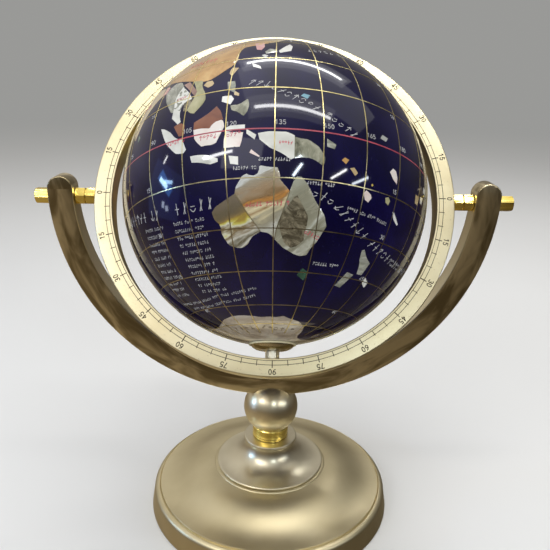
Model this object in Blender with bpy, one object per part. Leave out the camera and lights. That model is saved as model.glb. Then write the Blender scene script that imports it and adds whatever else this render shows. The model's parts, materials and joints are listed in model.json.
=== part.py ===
"""A desk globe of inlaid stone: ball, full meridian ring, C-shaped cradle arm and turned stand.

Metres, +Z up, origin at the centre of the base's underside, front of the stand towards -Y.
The ring turns in the arm about the X axis. The ball turns in the ring about the polar axis.
"""

from math import cos, pi, radians, sin, sqrt

import bmesh
import bpy
from mathutils import Matrix, Vector

MM = 0.001
GAP = 0.3 * MM                      # left between pieces that touch

# Driving dimensions
BALL_RADIUS = 76.2 * MM             # a 6 inch globe
BALL_CORNERS = 76.32 * MM           # its facets' corners, so that the flats straddle the true ball
BALL_RISE = 1.2 * MM                # up the polar axis from the ring's centre to the ball's
PIVOT_HEIGHT = 180 * MM             # centre of the ring above the table
LEAN = radians(32.8)                # the polar axis leans back by this much

RING_OUTER = 90.9 * MM
RING_INNER = 81.9 * MM
RING_THICKNESS = 11 * MM            # front to back
RING_CHAMFER = 0.8 * MM

ARM_OUTER = 114.5 * MM
ARM_WIDTH = 12.8 * MM               # across its front face
ARM_DEPTH = 12 * MM                 # front to back, at the crown of the faces
ARM_CROWN = 0.5 * MM                # how far its faces stand proud of their edges
ARM_RISE = 4.4 * MM                 # the arc's centre is this far above the pivots

BASE_RADIUS = 69 * MM               # at the foot; the wall leans in towards the rim
RIM_RADIUS = 67.5 * MM
RIM_HEIGHT = 10.1 * MM
RIM_ROUND = 3 * MM                  # the rim's rounded shoulder
GROOVE_RADIUS = 63.9 * MM
GROOVE_HEIGHT = 14.1 * MM
SEAT_RADIUS = 32.2 * MM
SEAT_HEIGHT = 24.2 * MM             # the pedestal stands on the base here
SEAT_STEP = 0.5 * MM
OGEE_STEEPNESS = 0.7                # 0 is a plain cone from groove to seat, 1 is level at both ends
OGEE_STEPS = 10
FLANGE_RADIUS = 30.7 * MM
FLANGE_TOP = SEAT_HEIGHT + 1.6 * MM
PEDESTAL_TOP = 41.1 * MM
PEDESTAL_LIP = 15.2 * MM
PEDESTAL_NECK = 13.2 * MM
COLLAR_RADIUS = 10.2 * MM
NECK_BALL_RADIUS = 16 * MM
NECK_BALL_HEIGHT = 60.7 * MM

SHANK_RADIUS = 1.4 * MM             # screws and pins, where they are round
SPACER_FLATS = 8 * MM
HEAD_FLATS = 7.2 * MM
HEAD_LENGTH = 7.2 * MM
HEAD_TILTS = {"left": radians(-35), "right": radians(-12)}    # a corner, up from the ring's front
SPACER_TILT = radians(-20)
PIN_FLATS = 5.9 * MM
CAP_RADIUS = 11.6 * MM
CAP_HEIGHT = 2.9 * MM

BORE_RADIUS = SHANK_RADIUS + GAP
ARM_MIDDLE = ARM_OUTER - ARM_WIDTH / 2
ARM_INNER = ARM_OUTER - ARM_WIDTH


def clear_scene():
    """Removes whatever the scene holds."""
    for old in list(bpy.data.objects):
        bpy.data.objects.remove(old)


def finish_material(name, colour, roughness, metallic):
    """One Principled material."""
    material = bpy.data.materials.new(name)
    material.use_nodes = True
    shader = material.node_tree.nodes["Principled BSDF"]
    shader.inputs["Base Color"].default_value = (*colour, 1.0)
    shader.inputs["Roughness"].default_value = roughness
    shader.inputs["Metallic"].default_value = metallic
    return material


def add_piece(name, bm, material, parent=None, smooth=True):
    """Turns a bmesh into a named object, closed and with its faces pointing out."""
    bmesh.ops.remove_doubles(bm, verts=bm.verts, dist=0.01 * MM)
    bmesh.ops.recalc_face_normals(bm, faces=bm.faces)
    mesh = bpy.data.meshes.new(name)
    bm.to_mesh(mesh)
    bm.free()
    if smooth:
        mesh.shade_smooth()
        mesh.set_sharp_from_angle(angle=radians(35))
    mesh.materials.append(material)
    piece = bpy.data.objects.new(name, mesh)
    bpy.context.collection.objects.link(piece)
    piece.parent = parent
    return piece


def add_pivot(name, location, rotation, parent=None):
    """An empty on a joint's axis, which carries what turns about it."""
    empty = bpy.data.objects.new(name, None)
    empty.location = location
    empty.rotation_euler = rotation
    empty.parent = parent
    bpy.context.collection.objects.link(empty)
    return empty


def spin_outline(bm, points, steps, centre=(0, 0, 0), axis=(0, 0, 1), angle=2 * pi, closed=False):
    """Sweeps a line of points about an axis. A closed line makes a ring."""
    verts = [bm.verts.new(p) for p in points]
    pairs = list(zip(verts, verts[1:]))
    if closed:
        pairs.append((verts[-1], verts[0]))
    edges = [bm.edges.new(pair) for pair in pairs]
    bmesh.ops.spin(bm, geom=verts + edges, cent=centre, axis=axis, angle=angle, steps=steps)


def turned(outline, steps, closed=False):
    """A piece turned about Z from (radius, height) points."""
    bm = bmesh.new()
    spin_outline(bm, [(r, 0, z) for r, z in outline], steps, closed=closed)
    return bm


def add_rod(bm, radius, start, end, sides, first_corner=0.0):
    """A closed prism along Z, with a corner at the given angle from +X."""
    rings = [
        [
            bm.verts.new((radius * cos(first_corner + 2 * pi * k / sides),
                          radius * sin(first_corner + 2 * pi * k / sides), z))
            for k in range(sides)
        ]
        for z in (start, end)
    ]
    bm.faces.new(rings[0])
    bm.faces.new(rings[1])
    for k in range(sides):
        n = (k + 1) % sides
        bm.faces.new((rings[0][k], rings[0][n], rings[1][n], rings[1][k]))


def rod_cutter(name, radius, start, end, direction, parent=None, centre=(0, 0, 0)):
    """A hidden round cutter from start to end along a direction."""
    bm = bmesh.new()
    add_rod(bm, radius, start, end, 16)
    turn = Vector((0, 0, 1)).rotation_difference(Vector(direction)).to_matrix().to_4x4()
    bmesh.ops.transform(bm, matrix=Matrix.Translation(centre) @ turn, verts=bm.verts)
    return as_cutter(add_piece(name, bm, STEEL, parent))


def as_cutter(piece):
    """Marks an object as a tool that isn't part of the globe."""
    piece.hide_render = True
    piece.display_type = "WIRE"
    return piece


def cut(piece, *cutters):
    """Cuts a piece by each cutter in turn."""
    for cutter in cutters:
        boolean = piece.modifiers.new("cut_" + cutter.name, "BOOLEAN")
        boolean.operation = "DIFFERENCE"
        boolean.solver = "EXACT"
        boolean.object = cutter


def join_by_union(piece, tool):
    """Adds another solid to a piece."""
    boolean = piece.modifiers.new("join_" + tool.name, "BOOLEAN")
    boolean.operation = "UNION"
    boolean.solver = "EXACT"
    boolean.object = as_cutter(tool)


def base_outline():
    """Underside, flared wall, rounded rim, fine groove, then an ogee that rises to the seat."""
    rim = [
        (RIM_RADIUS - RIM_ROUND * (1 - cos(a)), RIM_HEIGHT + RIM_ROUND * sin(a))
        for a in (radians(90 * k / 3) for k in range(4))
    ]
    ogee = []
    for k in range(OGEE_STEPS + 1):
        t = k / OGEE_STEPS
        rise = t - OGEE_STEEPNESS * sin(2 * pi * t) / (2 * pi)
        ogee.append((GROOVE_RADIUS + (SEAT_RADIUS - GROOVE_RADIUS) * t,
                     GROOVE_HEIGHT + (SEAT_HEIGHT - SEAT_STEP - GROOVE_HEIGHT) * rise))
    groove = [(GROOVE_RADIUS + 0.7 * MM, GROOVE_HEIGHT),
              (GROOVE_RADIUS + 0.35 * MM, GROOVE_HEIGHT - 0.6 * MM)]
    foot = [(0, 0), (BASE_RADIUS - 0.8 * MM, 0), (BASE_RADIUS, 0.8 * MM)]
    seat = [(SEAT_RADIUS - 0.4 * MM, SEAT_HEIGHT), (0, SEAT_HEIGHT)]
    return foot + rim + groove + ogee + seat


def pedestal_outline():
    """A bell: wide flange, hollow curve up to the neck, rounded lip, flat top."""
    bottom = SEAT_HEIGHT + GAP
    curve_top = PEDESTAL_TOP - 3 * MM
    bell = []
    for k in range(9):
        a = radians(90 * k / 8)
        bell.append((FLANGE_RADIUS - 0.8 * MM - (FLANGE_RADIUS - 0.8 * MM - PEDESTAL_NECK) * sin(a),
                     curve_top - (curve_top - FLANGE_TOP) * cos(a)))
    lip = [(PEDESTAL_LIP, PEDESTAL_TOP - 1.6 * MM), (PEDESTAL_LIP, PEDESTAL_TOP - 0.5 * MM),
           (PEDESTAL_LIP - 0.5 * MM, PEDESTAL_TOP)]
    edge = [(0, bottom), (FLANGE_RADIUS, bottom), (FLANGE_RADIUS, FLANGE_TOP - 0.5 * MM)]
    return edge + bell + lip + [(0, PEDESTAL_TOP)]


def collar_outline():
    """A short band with one fine groove, dished on top to take the neck ball."""
    bottom = PEDESTAL_TOP + GAP
    seat = NECK_BALL_RADIUS + GAP
    dish = []
    for k in range(5):
        r = (COLLAR_RADIUS - 0.4 * MM) * (1 - k / 4)
        dish.append((r, NECK_BALL_HEIGHT - sqrt(seat * seat - r * r)))
    rim = dish[0][1] - 0.4 * MM
    groove = bottom + 1.4 * MM
    side = [(0, bottom), (COLLAR_RADIUS, bottom), (COLLAR_RADIUS, groove - 0.3 * MM),
            (COLLAR_RADIUS - 0.4 * MM, groove), (COLLAR_RADIUS, groove + 0.3 * MM), (COLLAR_RADIUS, rim)]
    return side + dish


def arm_section(clearance=0.0):
    """Half of the bar's section, front to back, as (distance from its middle line, y)."""
    half_width = ARM_WIDTH / 2 + clearance
    half_depth = ARM_DEPTH / 2 + clearance
    face = [(half_width * t, half_depth - ARM_CROWN * t * t) for t in (0.0, 0.5, 0.93)]
    side = (half_width, face[-1][1] - 0.5 * MM)
    front = [(u, -y) for u, y in face + [side]]
    back = [(u, y) for u, y in reversed(face + [side])]
    return front + back


def arm_bar(clearance=0.0, steps=32):
    """The bar: its section swept through half a circle, with round ends."""
    bm = bmesh.new()
    outer = arm_section(clearance)
    inner = [(-u, y) for u, y in reversed(outer)][1:-1]
    centre = Vector((0, 0, ARM_RISE))
    loop = [Vector((ARM_MIDDLE + u, y, 0)) + centre for u, y in outer + inner]
    spin_outline(bm, loop, steps, centre=centre, axis=(0, 1, 0), angle=pi, closed=True)
    for side, turn in ((1, -1), (-1, 1)):
        half = [Vector((side * (ARM_MIDDLE + u), y, 0)) + centre for u, y in outer]
        spin_outline(bm, half, 6, centre=centre + Vector((side * ARM_MIDDLE, 0, 0)),
                     axis=(0, turn, 0), angle=pi)
    return bm


def ring_outline():
    """The meridian ring's section, as (radius, depth): flat faces with chamfered edges."""
    half, c = RING_THICKNESS / 2, RING_CHAMFER
    corners = [(RING_OUTER - c, half), (RING_OUTER, half - c), (RING_OUTER, c - half),
               (RING_OUTER - c, -half), (RING_INNER + c / 2, -half), (RING_INNER, c / 2 - half),
               (RING_INNER, half - c / 2), (RING_INNER + c / 2, half)]
    return corners


def make_stand():
    """Base, bell pedestal, collar, neck ball and the arm seated in the ball."""
    add_piece("base", turned(base_outline(), 40), NICKEL)
    add_piece("pedestal", turned(pedestal_outline(), 28), NICKEL)
    add_piece("neck_collar", turned(collar_outline(), 20), BRASS)

    bm = bmesh.new()
    bmesh.ops.create_uvsphere(bm, u_segments=24, v_segments=14, radius=NECK_BALL_RADIUS)
    neck_ball = add_piece("neck_ball", bm, NICKEL)
    neck_ball.location.z = NECK_BALL_HEIGHT
    slot = as_cutter(add_piece("slot_cutter", arm_bar(GAP), STEEL))
    slot.location.z = PIVOT_HEIGHT
    cut(neck_ball, slot)

    arm = add_piece("cradle_arm", arm_bar(), NICKEL)
    arm.location.z = PIVOT_HEIGHT
    hole = rod_cutter("arm_hole_cutter", BORE_RADIUS, -130 * MM, 130 * MM, (1, 0, 0),
                      centre=(0, 0, PIVOT_HEIGHT))
    cut(arm, hole)


def corner_from(tilt, side):
    """Where a corner of a pivot's hexagon goes: up by tilt from the ring's front face."""
    return -pi / 2 - side * tilt


def make_screw(name, side, tilt, pivot):
    """Hex screw: head outside the arm, shank through arm and spacer into the ring's edge."""
    head_start = sqrt(ARM_OUTER ** 2 - ARM_RISE ** 2) + GAP
    bm = bmesh.new()
    chamfer = 0.6 * MM
    corner = HEAD_FLATS / sqrt(3)
    add_rod(bm, corner, head_start, head_start + HEAD_LENGTH - chamfer, 6, corner_from(tilt, side))
    bm.faces.ensure_lookup_table()
    cap = bm.faces[1]
    face = bmesh.ops.extrude_discrete_faces(bm, faces=[cap])["faces"][0]
    for vert in face.verts:
        vert.co.z += chamfer
        vert.co.x *= 1 - chamfer / corner
        vert.co.y *= 1 - chamfer / corner
    screw = add_piece(name, bm, BRASS, pivot, smooth=False)
    screw.rotation_euler = (0, side * pi / 2, 0)
    shank_bm = bmesh.new()
    add_rod(shank_bm, SHANK_RADIUS, RING_OUTER - 5 * MM, head_start + 2 * MM, 12)
    shank = add_piece(name + "_shank_tool", shank_bm, BRASS, pivot)
    shank.rotation_euler = screw.rotation_euler
    join_by_union(screw, shank)


def make_spacer(name, side, tilt, pivot):
    """Hex spacer between arm and ring, with a V groove round its middle."""
    corner = SPACER_FLATS / sqrt(3)
    start = RING_OUTER + GAP
    end = sqrt(ARM_INNER ** 2 - (ARM_RISE + corner) ** 2) - GAP
    bm = bmesh.new()
    middle = (start + end) / 2
    levels = [(start, 0.94), (start + 0.3 * MM, 1), (middle - 0.3 * MM, 1), (middle, 0.93),
              (middle + 0.3 * MM, 1), (end - 0.3 * MM, 1), (end, 0.94)]
    rings = []
    for z, scale in levels:
        angles = [corner_from(tilt, side) + k * pi / 3 for k in range(6)]
        rings.append([bm.verts.new((corner * scale * cos(a), corner * scale * sin(a), z)) for a in angles])
    for low, high in zip(rings, rings[1:]):
        for k in range(6):
            n = (k + 1) % 6
            bm.faces.new((low[k], low[n], high[n], high[k]))
    bm.faces.new(rings[0])
    bm.faces.new(rings[-1])
    spacer = add_piece(name, bm, BRASS, pivot, smooth=False)
    spacer.rotation_euler = (0, side * pi / 2, 0)
    bore = rod_cutter(name + "_cutter", BORE_RADIUS, 80 * MM, 110 * MM, (side, 0, 0), pivot)
    cut(spacer, bore)


def make_ring(pivot):
    """The meridian ring, blind bored at its four quarters for the screws and the polar pins."""
    bm = bmesh.new()
    spin_outline(bm, [(r, y, 0) for r, y in ring_outline()], 72, axis=(0, 1, 0), closed=True)
    ring = add_piece("meridian_ring", bm, GOLD, pivot)
    cutters = [
        rod_cutter("ring_screw_cutter_" + word, BORE_RADIUS, RING_OUTER - 5.5 * MM, 100 * MM,
                   (side, 0, 0), pivot)
        for word, side in (("left", -1), ("right", 1))
    ]
    cutters += [
        rod_cutter("ring_pin_cutter_" + word, BORE_RADIUS, 79 * MM, RING_INNER + 5.5 * MM,
                   (0, 0, side), pivot)
        for word, side in (("south", -1), ("north", 1))
    ]
    cut(ring, *cutters)


def make_polar_pin(name, side, pivot):
    """Hex pin between the ring and a polar cap, a flat to the front, with a round end in each."""
    bm = bmesh.new()
    ball_end = BALL_RADIUS + side * BALL_RISE
    add_rod(bm, PIN_FLATS / sqrt(3), ball_end + CAP_HEIGHT + GAP, RING_INNER - GAP, 6, -pi / 3)
    pin = add_piece(name, bm, GOLD, pivot, smooth=False)
    rod_bm = bmesh.new()
    add_rod(rod_bm, SHANK_RADIUS, ball_end - 6 * MM, RING_INNER + 5 * MM, 12)
    rod = add_piece(name + "_rod_tool", rod_bm, GOLD, pivot)
    for piece in (pin, rod):
        piece.rotation_euler = (0 if side > 0 else pi, 0, 0)
    join_by_union(pin, rod)


def make_polar_cap(name, side, pivot):
    """A shallow dome that covers the ball's pole and bears on the pin."""
    under = BALL_CORNERS + GAP
    rim = sqrt(under ** 2 - CAP_RADIUS ** 2)
    outline = []
    for k in range(4):
        r = BORE_RADIUS + (CAP_RADIUS - BORE_RADIUS) * k / 3
        outline.append((r, sqrt(under ** 2 - r * r)))
    top = BALL_RADIUS + CAP_HEIGHT
    shoulder = PIN_FLATS / 2 + 0.6 * MM
    edge = rim + 0.7 * MM
    for k in range(5):
        a = radians(90 * k / 4)
        outline.append((shoulder + (CAP_RADIUS - shoulder) * cos(a), edge + (top - edge) * sin(a)))
    outline.append((BORE_RADIUS, top))
    cap = add_piece(name, turned(outline, 20, closed=True), NICKEL, pivot)
    cap.rotation_euler = (0 if side > 0 else pi, 0, 0)


def make_ball(pivot):
    """The stone ball, bored at both poles for the pins."""
    bm = bmesh.new()
    bmesh.ops.create_uvsphere(bm, u_segments=40, v_segments=24, radius=BALL_CORNERS)
    ball = add_piece("globe_ball", bm, STONE, pivot)
    cut(ball, *[
        rod_cutter("ball_cutter_" + word, BORE_RADIUS, BALL_RADIUS - 6.5 * MM, 90 * MM, (0, 0, side), pivot)
        for word, side in (("south", -1), ("north", 1))
    ])


clear_scene()
NICKEL = finish_material("satin_nickel", (0.52, 0.47, 0.38), 0.3, 1.0)
GOLD = finish_material("pale_gold", (0.83, 0.74, 0.56), 0.3, 1.0)
BRASS = finish_material("polished_brass", (0.86, 0.68, 0.32), 0.15, 1.0)
STEEL = finish_material("tool", (0.5, 0.5, 0.5), 0.5, 0.0)
STONE = finish_material("navy_stone", (0.02, 0.025, 0.10), 0.08, 0.0)

make_stand()
ring_pivot = add_pivot("ring_pivot", (0, 0, PIVOT_HEIGHT), (-LEAN, 0, 0))
make_ring(ring_pivot)
for word, side in (("left", -1), ("right", 1)):
    make_screw("pivot_screw_" + word, side, HEAD_TILTS[word], ring_pivot)
    make_spacer("pivot_spacer_" + word, side, SPACER_TILT, ring_pivot)
for word, side in (("south", -1), ("north", 1)):
    make_polar_pin("polar_pin_" + word, side, ring_pivot)
ball_axis = add_pivot("ball_axis", (0, 0, BALL_RISE), (0, 0, 0), ring_pivot)
for word, side in (("south", -1), ("north", 1)):
    make_polar_cap("polar_cap_" + word, side, ball_axis)
make_ball(ball_axis)
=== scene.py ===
"""Looks of the inlaid gemstone globe: turned stand, cradle arm, engraved ring and the stone ball."""

import json
import random
from math import acos, atan2, ceil, cos, pi, radians, sin, sqrt

import bmesh
import bpy
from mathutils import Matrix, Vector
from mathutils.geometry import delaunay_2d_cdt


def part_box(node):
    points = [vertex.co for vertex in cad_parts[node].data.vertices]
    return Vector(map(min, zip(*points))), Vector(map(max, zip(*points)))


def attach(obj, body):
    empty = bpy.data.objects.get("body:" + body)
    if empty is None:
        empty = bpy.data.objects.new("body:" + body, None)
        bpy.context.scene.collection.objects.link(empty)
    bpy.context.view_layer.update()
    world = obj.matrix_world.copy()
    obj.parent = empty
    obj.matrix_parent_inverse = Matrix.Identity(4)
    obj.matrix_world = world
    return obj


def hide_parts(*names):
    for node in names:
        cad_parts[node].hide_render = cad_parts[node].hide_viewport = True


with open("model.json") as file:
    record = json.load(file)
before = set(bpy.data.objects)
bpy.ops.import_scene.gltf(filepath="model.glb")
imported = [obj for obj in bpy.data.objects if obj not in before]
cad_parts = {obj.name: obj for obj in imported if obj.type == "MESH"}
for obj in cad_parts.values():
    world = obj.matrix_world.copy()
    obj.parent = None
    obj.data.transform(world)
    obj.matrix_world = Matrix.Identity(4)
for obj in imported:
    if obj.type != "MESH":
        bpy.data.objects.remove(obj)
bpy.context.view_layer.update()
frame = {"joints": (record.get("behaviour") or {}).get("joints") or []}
MM = 0.001

# ---------------------------------------------------------------------------------------------
# Camera. It stands close in front, a little above the globe's middle, and looks down on it.
# ---------------------------------------------------------------------------------------------
camera = bpy.data.objects.new("camera", bpy.data.cameras.new("camera"))
camera.data.sensor_width = 36
camera.data.lens = 41.33
camera.data.clip_start = 0.01
camera_place = (-0.0018, -0.3189, 0.2488)
heading, tilt, roll = radians(-0.48), radians(71), radians(1.18)
camera.matrix_world = (
    Matrix.Translation(camera_place)
    @ Matrix.Rotation(heading, 4, "Z")
    @ Matrix.Rotation(tilt, 4, "X")
    @ Matrix.Rotation(roll, 4, "Z")
)
bpy.context.collection.objects.link(camera)
bpy.context.scene.camera = camera
bpy.context.scene.view_settings.view_transform = "Standard"


# ---------------------------------------------------------------------------------------------
# Floor and light. A pale matt floor in a dim room. Two long tube lamps with a soft glow round
# them hang under the ceiling, four small strip lamps and a lit wall are in front, and a window
# with a low pane under it is at the left.
# ---------------------------------------------------------------------------------------------
class Signal:
    """A socket in a node tree, so that what varies over a surface is written as sums."""

    def __init__(self, tree, socket):
        self.tree = tree
        self.socket = socket

    def node(self, kind, settings=None, sockets=None, output=0):
        """Adds a node: first its settings, then the values or links of its sockets."""
        made = self.tree.nodes.new(kind)
        for name, value in (settings or {}).items():
            if name == "stops":
                fill_ramp(made.color_ramp, value)
            else:
                setattr(made, name, value)
        for name, value in (sockets or {}).items():
            if isinstance(value, Signal):
                self.tree.links.new(value.socket, made.inputs[name])
            else:
                made.inputs[name].default_value = value
        return Signal(self.tree, made.outputs[output])

    def maths(self, operation, *values):
        """A Math node over these values."""
        return self.node("ShaderNodeMath", {"operation": operation}, dict(enumerate(values)))

    def __add__(self, other):
        return self.maths("ADD", self, other)

    def __mul__(self, other):
        return self.maths("MULTIPLY", self, other)

    def __sub__(self, other):
        return self.maths("SUBTRACT", self, other)

    def __rsub__(self, other):
        return self.maths("SUBTRACT", other, self)

    def __pow__(self, other):
        return self.maths("POWER", self, other)

    __radd__ = __add__
    __rmul__ = __mul__

    def between(self, low, high):
        """0 below low, 1 above high, with a smooth rise."""
        sockets = {"Value": self, "From Min": low, "From Max": high}
        return self.node("ShaderNodeMapRange", {"interpolation_type": "SMOOTHSTEP"}, sockets)

    def tint(self, *stops):
        """A colour ramp over this value: (position, colour) stops."""
        return self.node("ShaderNodeValToRGB", {"stops": stops}, {"Fac": self})

    def choose(self, low, high):
        """The colour low where this is 0, and high where it is 1."""
        colours = [c if isinstance(c, Signal) else (*c, 1.0) for c in (low, high)]
        sockets = {0: self, 6: colours[0], 7: colours[1]}
        return self.node("ShaderNodeMix", {"data_type": "RGBA"}, sockets, output=2)

    def noise(self, scale, detail=2.0, roughness=0.5, distortion=0.0):
        """Cloudy noise over this position."""
        sockets = {"Vector": self, "Scale": scale, "Detail": detail, "Roughness": roughness,
                   "Distortion": distortion}
        return self.node("ShaderNodeTexNoise", None, sockets)

    def stretched(self, scale, turn=(0, 0, 0)):
        """This position along turned axes, and then scaled along each of them."""
        sockets = {"Vector": self, "Rotation": turn, "Scale": [1 / s for s in scale]}
        return self.node("ShaderNodeMapping", {"vector_type": "TEXTURE"}, sockets)

    def along(self, direction, start, reach):
        """How far this position is from start along a direction: 0 there, 1 after reach."""
        direction = Vector(direction).normalized()
        sockets = {0: self, 1: direction}
        distance = self.node("ShaderNodeVectorMath", {"operation": "DOT_PRODUCT"}, sockets, output=1)
        return (distance - direction.dot(start)) * (1 / reach)

    def part(self, axis):
        """One of a position's three numbers."""
        return self.node("ShaderNodeSeparateXYZ", None, {"Vector": self}, output=axis)

    def bump(self, depth):
        """A surface normal from this height."""
        return self.node("ShaderNodeBump", None, {"Height": self, "Distance": depth})


def fill_ramp(ramp, stops):
    """Sets a colour ramp's stops from (position, colour) pairs."""
    while len(ramp.elements) < len(stops):
        ramp.elements.new(1.0)
    for element, (position, colour) in zip(ramp.elements, stops):
        element.position = position
        element.color = (*colour, 1.0)


def begin_finish(name, **uniform):
    """A new material: returns it, the place on the piece, and a function that links a socket."""
    material = bpy.data.materials.new(name)
    material.use_nodes = True
    tree = material.node_tree
    shader = tree.nodes["Principled BSDF"]
    for word, value in uniform.items():
        socket = shader.inputs[word.replace("_", " ").title().replace("Ior", "IOR")]
        socket.default_value = (*value, 1.0) if isinstance(value, tuple) else value
    place = Signal(tree, tree.nodes.new("ShaderNodeTexCoord").outputs["Object"])

    def feed(socket, signal):
        tree.links.new(signal.socket, shader.inputs[socket])

    return material, place, feed


WALL_GREY = (0.32, 0.32, 0.31, 1.0)


def add_floor():
    """A wide pale disc just under the base, which fades into the wall's grey far behind it."""
    finish, place, feed = begin_finish("floor_paper", roughness=0.7)
    feed("Base Color", place.noise(3.0).choose((0.70, 0.70, 0.69), (0.74, 0.74, 0.73)))
    far = ((place.part(0) ** 2 + place.part(1) ** 2) ** 0.5).between(0.4, 2.5)
    paper = Signal(place.tree, place.tree.nodes["Principled BSDF"].outputs[0])
    grey = far.node("ShaderNodeEmission", None, {"Color": WALL_GREY})
    blend = far.node("ShaderNodeMixShader", None, {0: far, 1: paper, 2: grey})
    place.tree.links.new(blend.socket, place.tree.nodes["Material Output"].inputs["Surface"])
    bm = bmesh.new()
    bmesh.ops.create_circle(bm, cap_ends=True, segments=96, radius=8.0)
    mesh = bpy.data.meshes.new("floor")
    bm.to_mesh(mesh)
    bm.free()
    mesh.materials.append(finish)
    floor = bpy.data.objects.new("floor", mesh)
    floor.location.z = -0.1 * MM
    bpy.context.collection.objects.link(floor)
    floor.visible_glossy = False    # the polished parts mirror the room's dark table instead


def add_lamp(name, start, end, width, watts, colour=(1.0, 1.0, 1.0)):
    """A strip lamp between two points, turned to face the globe."""
    start, end = Vector(start), Vector(end)
    middle = (start + end) / 2
    along = (end - start).normalized()
    away = middle - GLOBE_CENTRE
    away = (away - along * away.dot(along)).normalized()
    data = bpy.data.lights.new(name, "AREA")
    data.shape = "RECTANGLE"
    data.size = (end - start).length
    data.size_y = width
    data.energy = watts
    data.color = colour
    lamp = bpy.data.objects.new(name, data)
    axes = Matrix((along, away.cross(along), away)).transposed().to_4x4()
    lamp.matrix_world = Matrix.Translation(middle) @ axes
    bpy.context.collection.objects.link(lamp)


def add_room():
    """Dim surroundings, paler overhead and at the window's side, and a plain grey for the camera."""
    world = bpy.data.worlds.new("room")
    bpy.context.scene.world = world
    world.use_nodes = True
    tree = world.node_tree
    tree.nodes.clear()
    place = Signal(tree, tree.nodes.new("ShaderNodeTexCoord").outputs["Generated"])
    height = place.part(2) * 0.5 + 0.5
    table = [(0.0, (0.26, 0.21, 0.14)), (0.25, (0.20, 0.16, 0.105)), (0.40, (0.12, 0.092, 0.057))]
    ceiling = [(0.90, (0.56, 0.55, 0.54)), (1.0, (0.82, 0.81, 0.80))]
    front = height.tint(*table, (0.48, (0.09, 0.07, 0.045)), (0.54, (0.11, 0.105, 0.10)),
                        (0.70, (0.24, 0.235, 0.23)), (0.80, (0.38, 0.37, 0.36)), *ceiling)
    back = height.tint(*table, (0.50, (0.20, 0.18, 0.15)), (0.56, (0.32, 0.30, 0.27)),
                       (0.80, (0.38, 0.36, 0.33)), *ceiling)
    glow = place.part(1).between(-0.3, 0.5).choose(front, back)
    sides = place.part(0).between(-0.7, 0.7).tint((0.0, (1.6, 1.6, 1.6)), (0.5, (1.0, 1.0, 1.0)),
                                                  (1.0, (0.5, 0.5, 0.5)))
    product = {"data_type": "RGBA", "blend_type": "MULTIPLY"}
    glow = glow.node("ShaderNodeMix", product, {0: 1.0, 6: glow, 7: sides}, output=2)
    dim = place.node("ShaderNodeBackground", None, {"Color": glow, "Strength": 1.0})
    wall = place.node("ShaderNodeBackground", None, {"Color": WALL_GREY, "Strength": 1.0})
    seen = place.node("ShaderNodeLightPath", None, None)
    shown = place.node("ShaderNodeMixShader", None, {0: seen, 1: dim, 2: wall})
    tree.links.new(shown.socket, tree.nodes.new("ShaderNodeOutputWorld").inputs["Surface"])


joints = {joint["name"]: joint for joint in frame["joints"]}
GLOBE_CENTRE = Vector(joints["ring_tilt"]["pos_m"])
add_floor()
add_room()
add_lamp("tube_back", (-0.25, 0.56, 1.18), (0.60, 0.56, 1.18), 0.045, 2.5)
add_lamp("tube_front", (-0.23, -0.27, 1.18), (0.63, -0.27, 1.18), 0.045, 2.5)
for word, y in (("back", 0.56), ("front", -0.27)):
    add_lamp("tube_halo_" + word, (-0.28, y, 1.20), (0.66, y, 1.20), 0.16, 0.45)
    add_lamp("tube_glow_" + word, (-0.32, y, 1.22), (0.70, y, 1.22), 0.34, 0.75)
add_lamp("ceiling_glow", (-0.35, 0.15, 1.26), (1.35, 0.15, 1.26), 0.70, 2.6)
add_lamp("wall_glow", (-0.75, -0.75, 0.95), (-0.20, -0.95, 0.98), 0.45, 1.3)
add_lamp("strip_left", (-1.18, -0.72, 0.92), (-0.74, -0.97, 1.17), 0.05, 2.6)
add_lamp("strip_middle", (0.31, -1.38, 0.87), (0.46, -1.22, 1.05), 0.04, 1.9, (0.78, 0.90, 1.0))
add_lamp("strip_right", (0.95, -1.11, 0.76), (1.16, -0.82, 0.84), 0.035, 1.4)
add_lamp("strip_far_right", (1.25, -0.85, 0.60), (1.41, -0.50, 0.62), 0.035, 1.2, (0.84, 0.92, 1.0))
add_lamp("side_left", (-1.01, 0.0, 0.47), (-0.99, -0.01, 0.55), 0.02, 0.1)
add_lamp("window", (-1.04, -0.02, 0.34), (-1.02, -0.17, 0.29), 0.045, 0.55, (0.50, 0.76, 1.0))
add_lamp("window_side", (-1.03, -0.10, 0.33), (-1.01, -0.24, 0.36), 0.035, 0.30, (0.42, 0.70, 1.0))
add_lamp("window_frame", (-1.05, 0.0, 0.38), (-1.03, -0.25, 0.26), 0.11, 0.40, (0.10, 0.34, 1.0))
add_lamp("window_glow", (-1.06, 0.15, 0.24), (-1.04, -0.40, 0.22), 0.50, 0.35, (0.25, 0.40, 1.0))
add_lamp("low_pane", (-1.04, -0.11, 0.12), (-1.02, -0.15, 0.12), 0.06, 0.06, (0.70, 0.80, 1.0))
add_lamp("low_pane_side", (-1.04, -0.17, 0.09), (-1.02, -0.22, 0.10), 0.05, 0.06, (0.70, 0.80, 1.0))


# ---------------------------------------------------------------------------------------------
# Base. Turned from solid brass and plated satin champagne: a flared foot, a rounded rim, one
# fine groove and an ogee that rises to the seat of the pedestal. Its underside is plain.
# ---------------------------------------------------------------------------------------------
def neighbours(items, closed):
    """Each item with the one after it, and where the row is closed the last with the first."""
    pairs = list(zip(items, items[1:]))
    return pairs + [(items[-1], items[0])] if closed else pairs


def turn_outline(bm, points, steps, centre=(0, 0, 0), axis=(0, 0, 1), angle=2 * pi, closed=False):
    """Sweeps a line of points about an axis. A closed line makes a ring."""
    verts = [bm.verts.new(p) for p in points]
    edges = [bm.edges.new(pair) for pair in neighbours(verts, closed)]
    bmesh.ops.spin(bm, geom=verts + edges, cent=centre, axis=axis, angle=angle, steps=steps)


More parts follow.
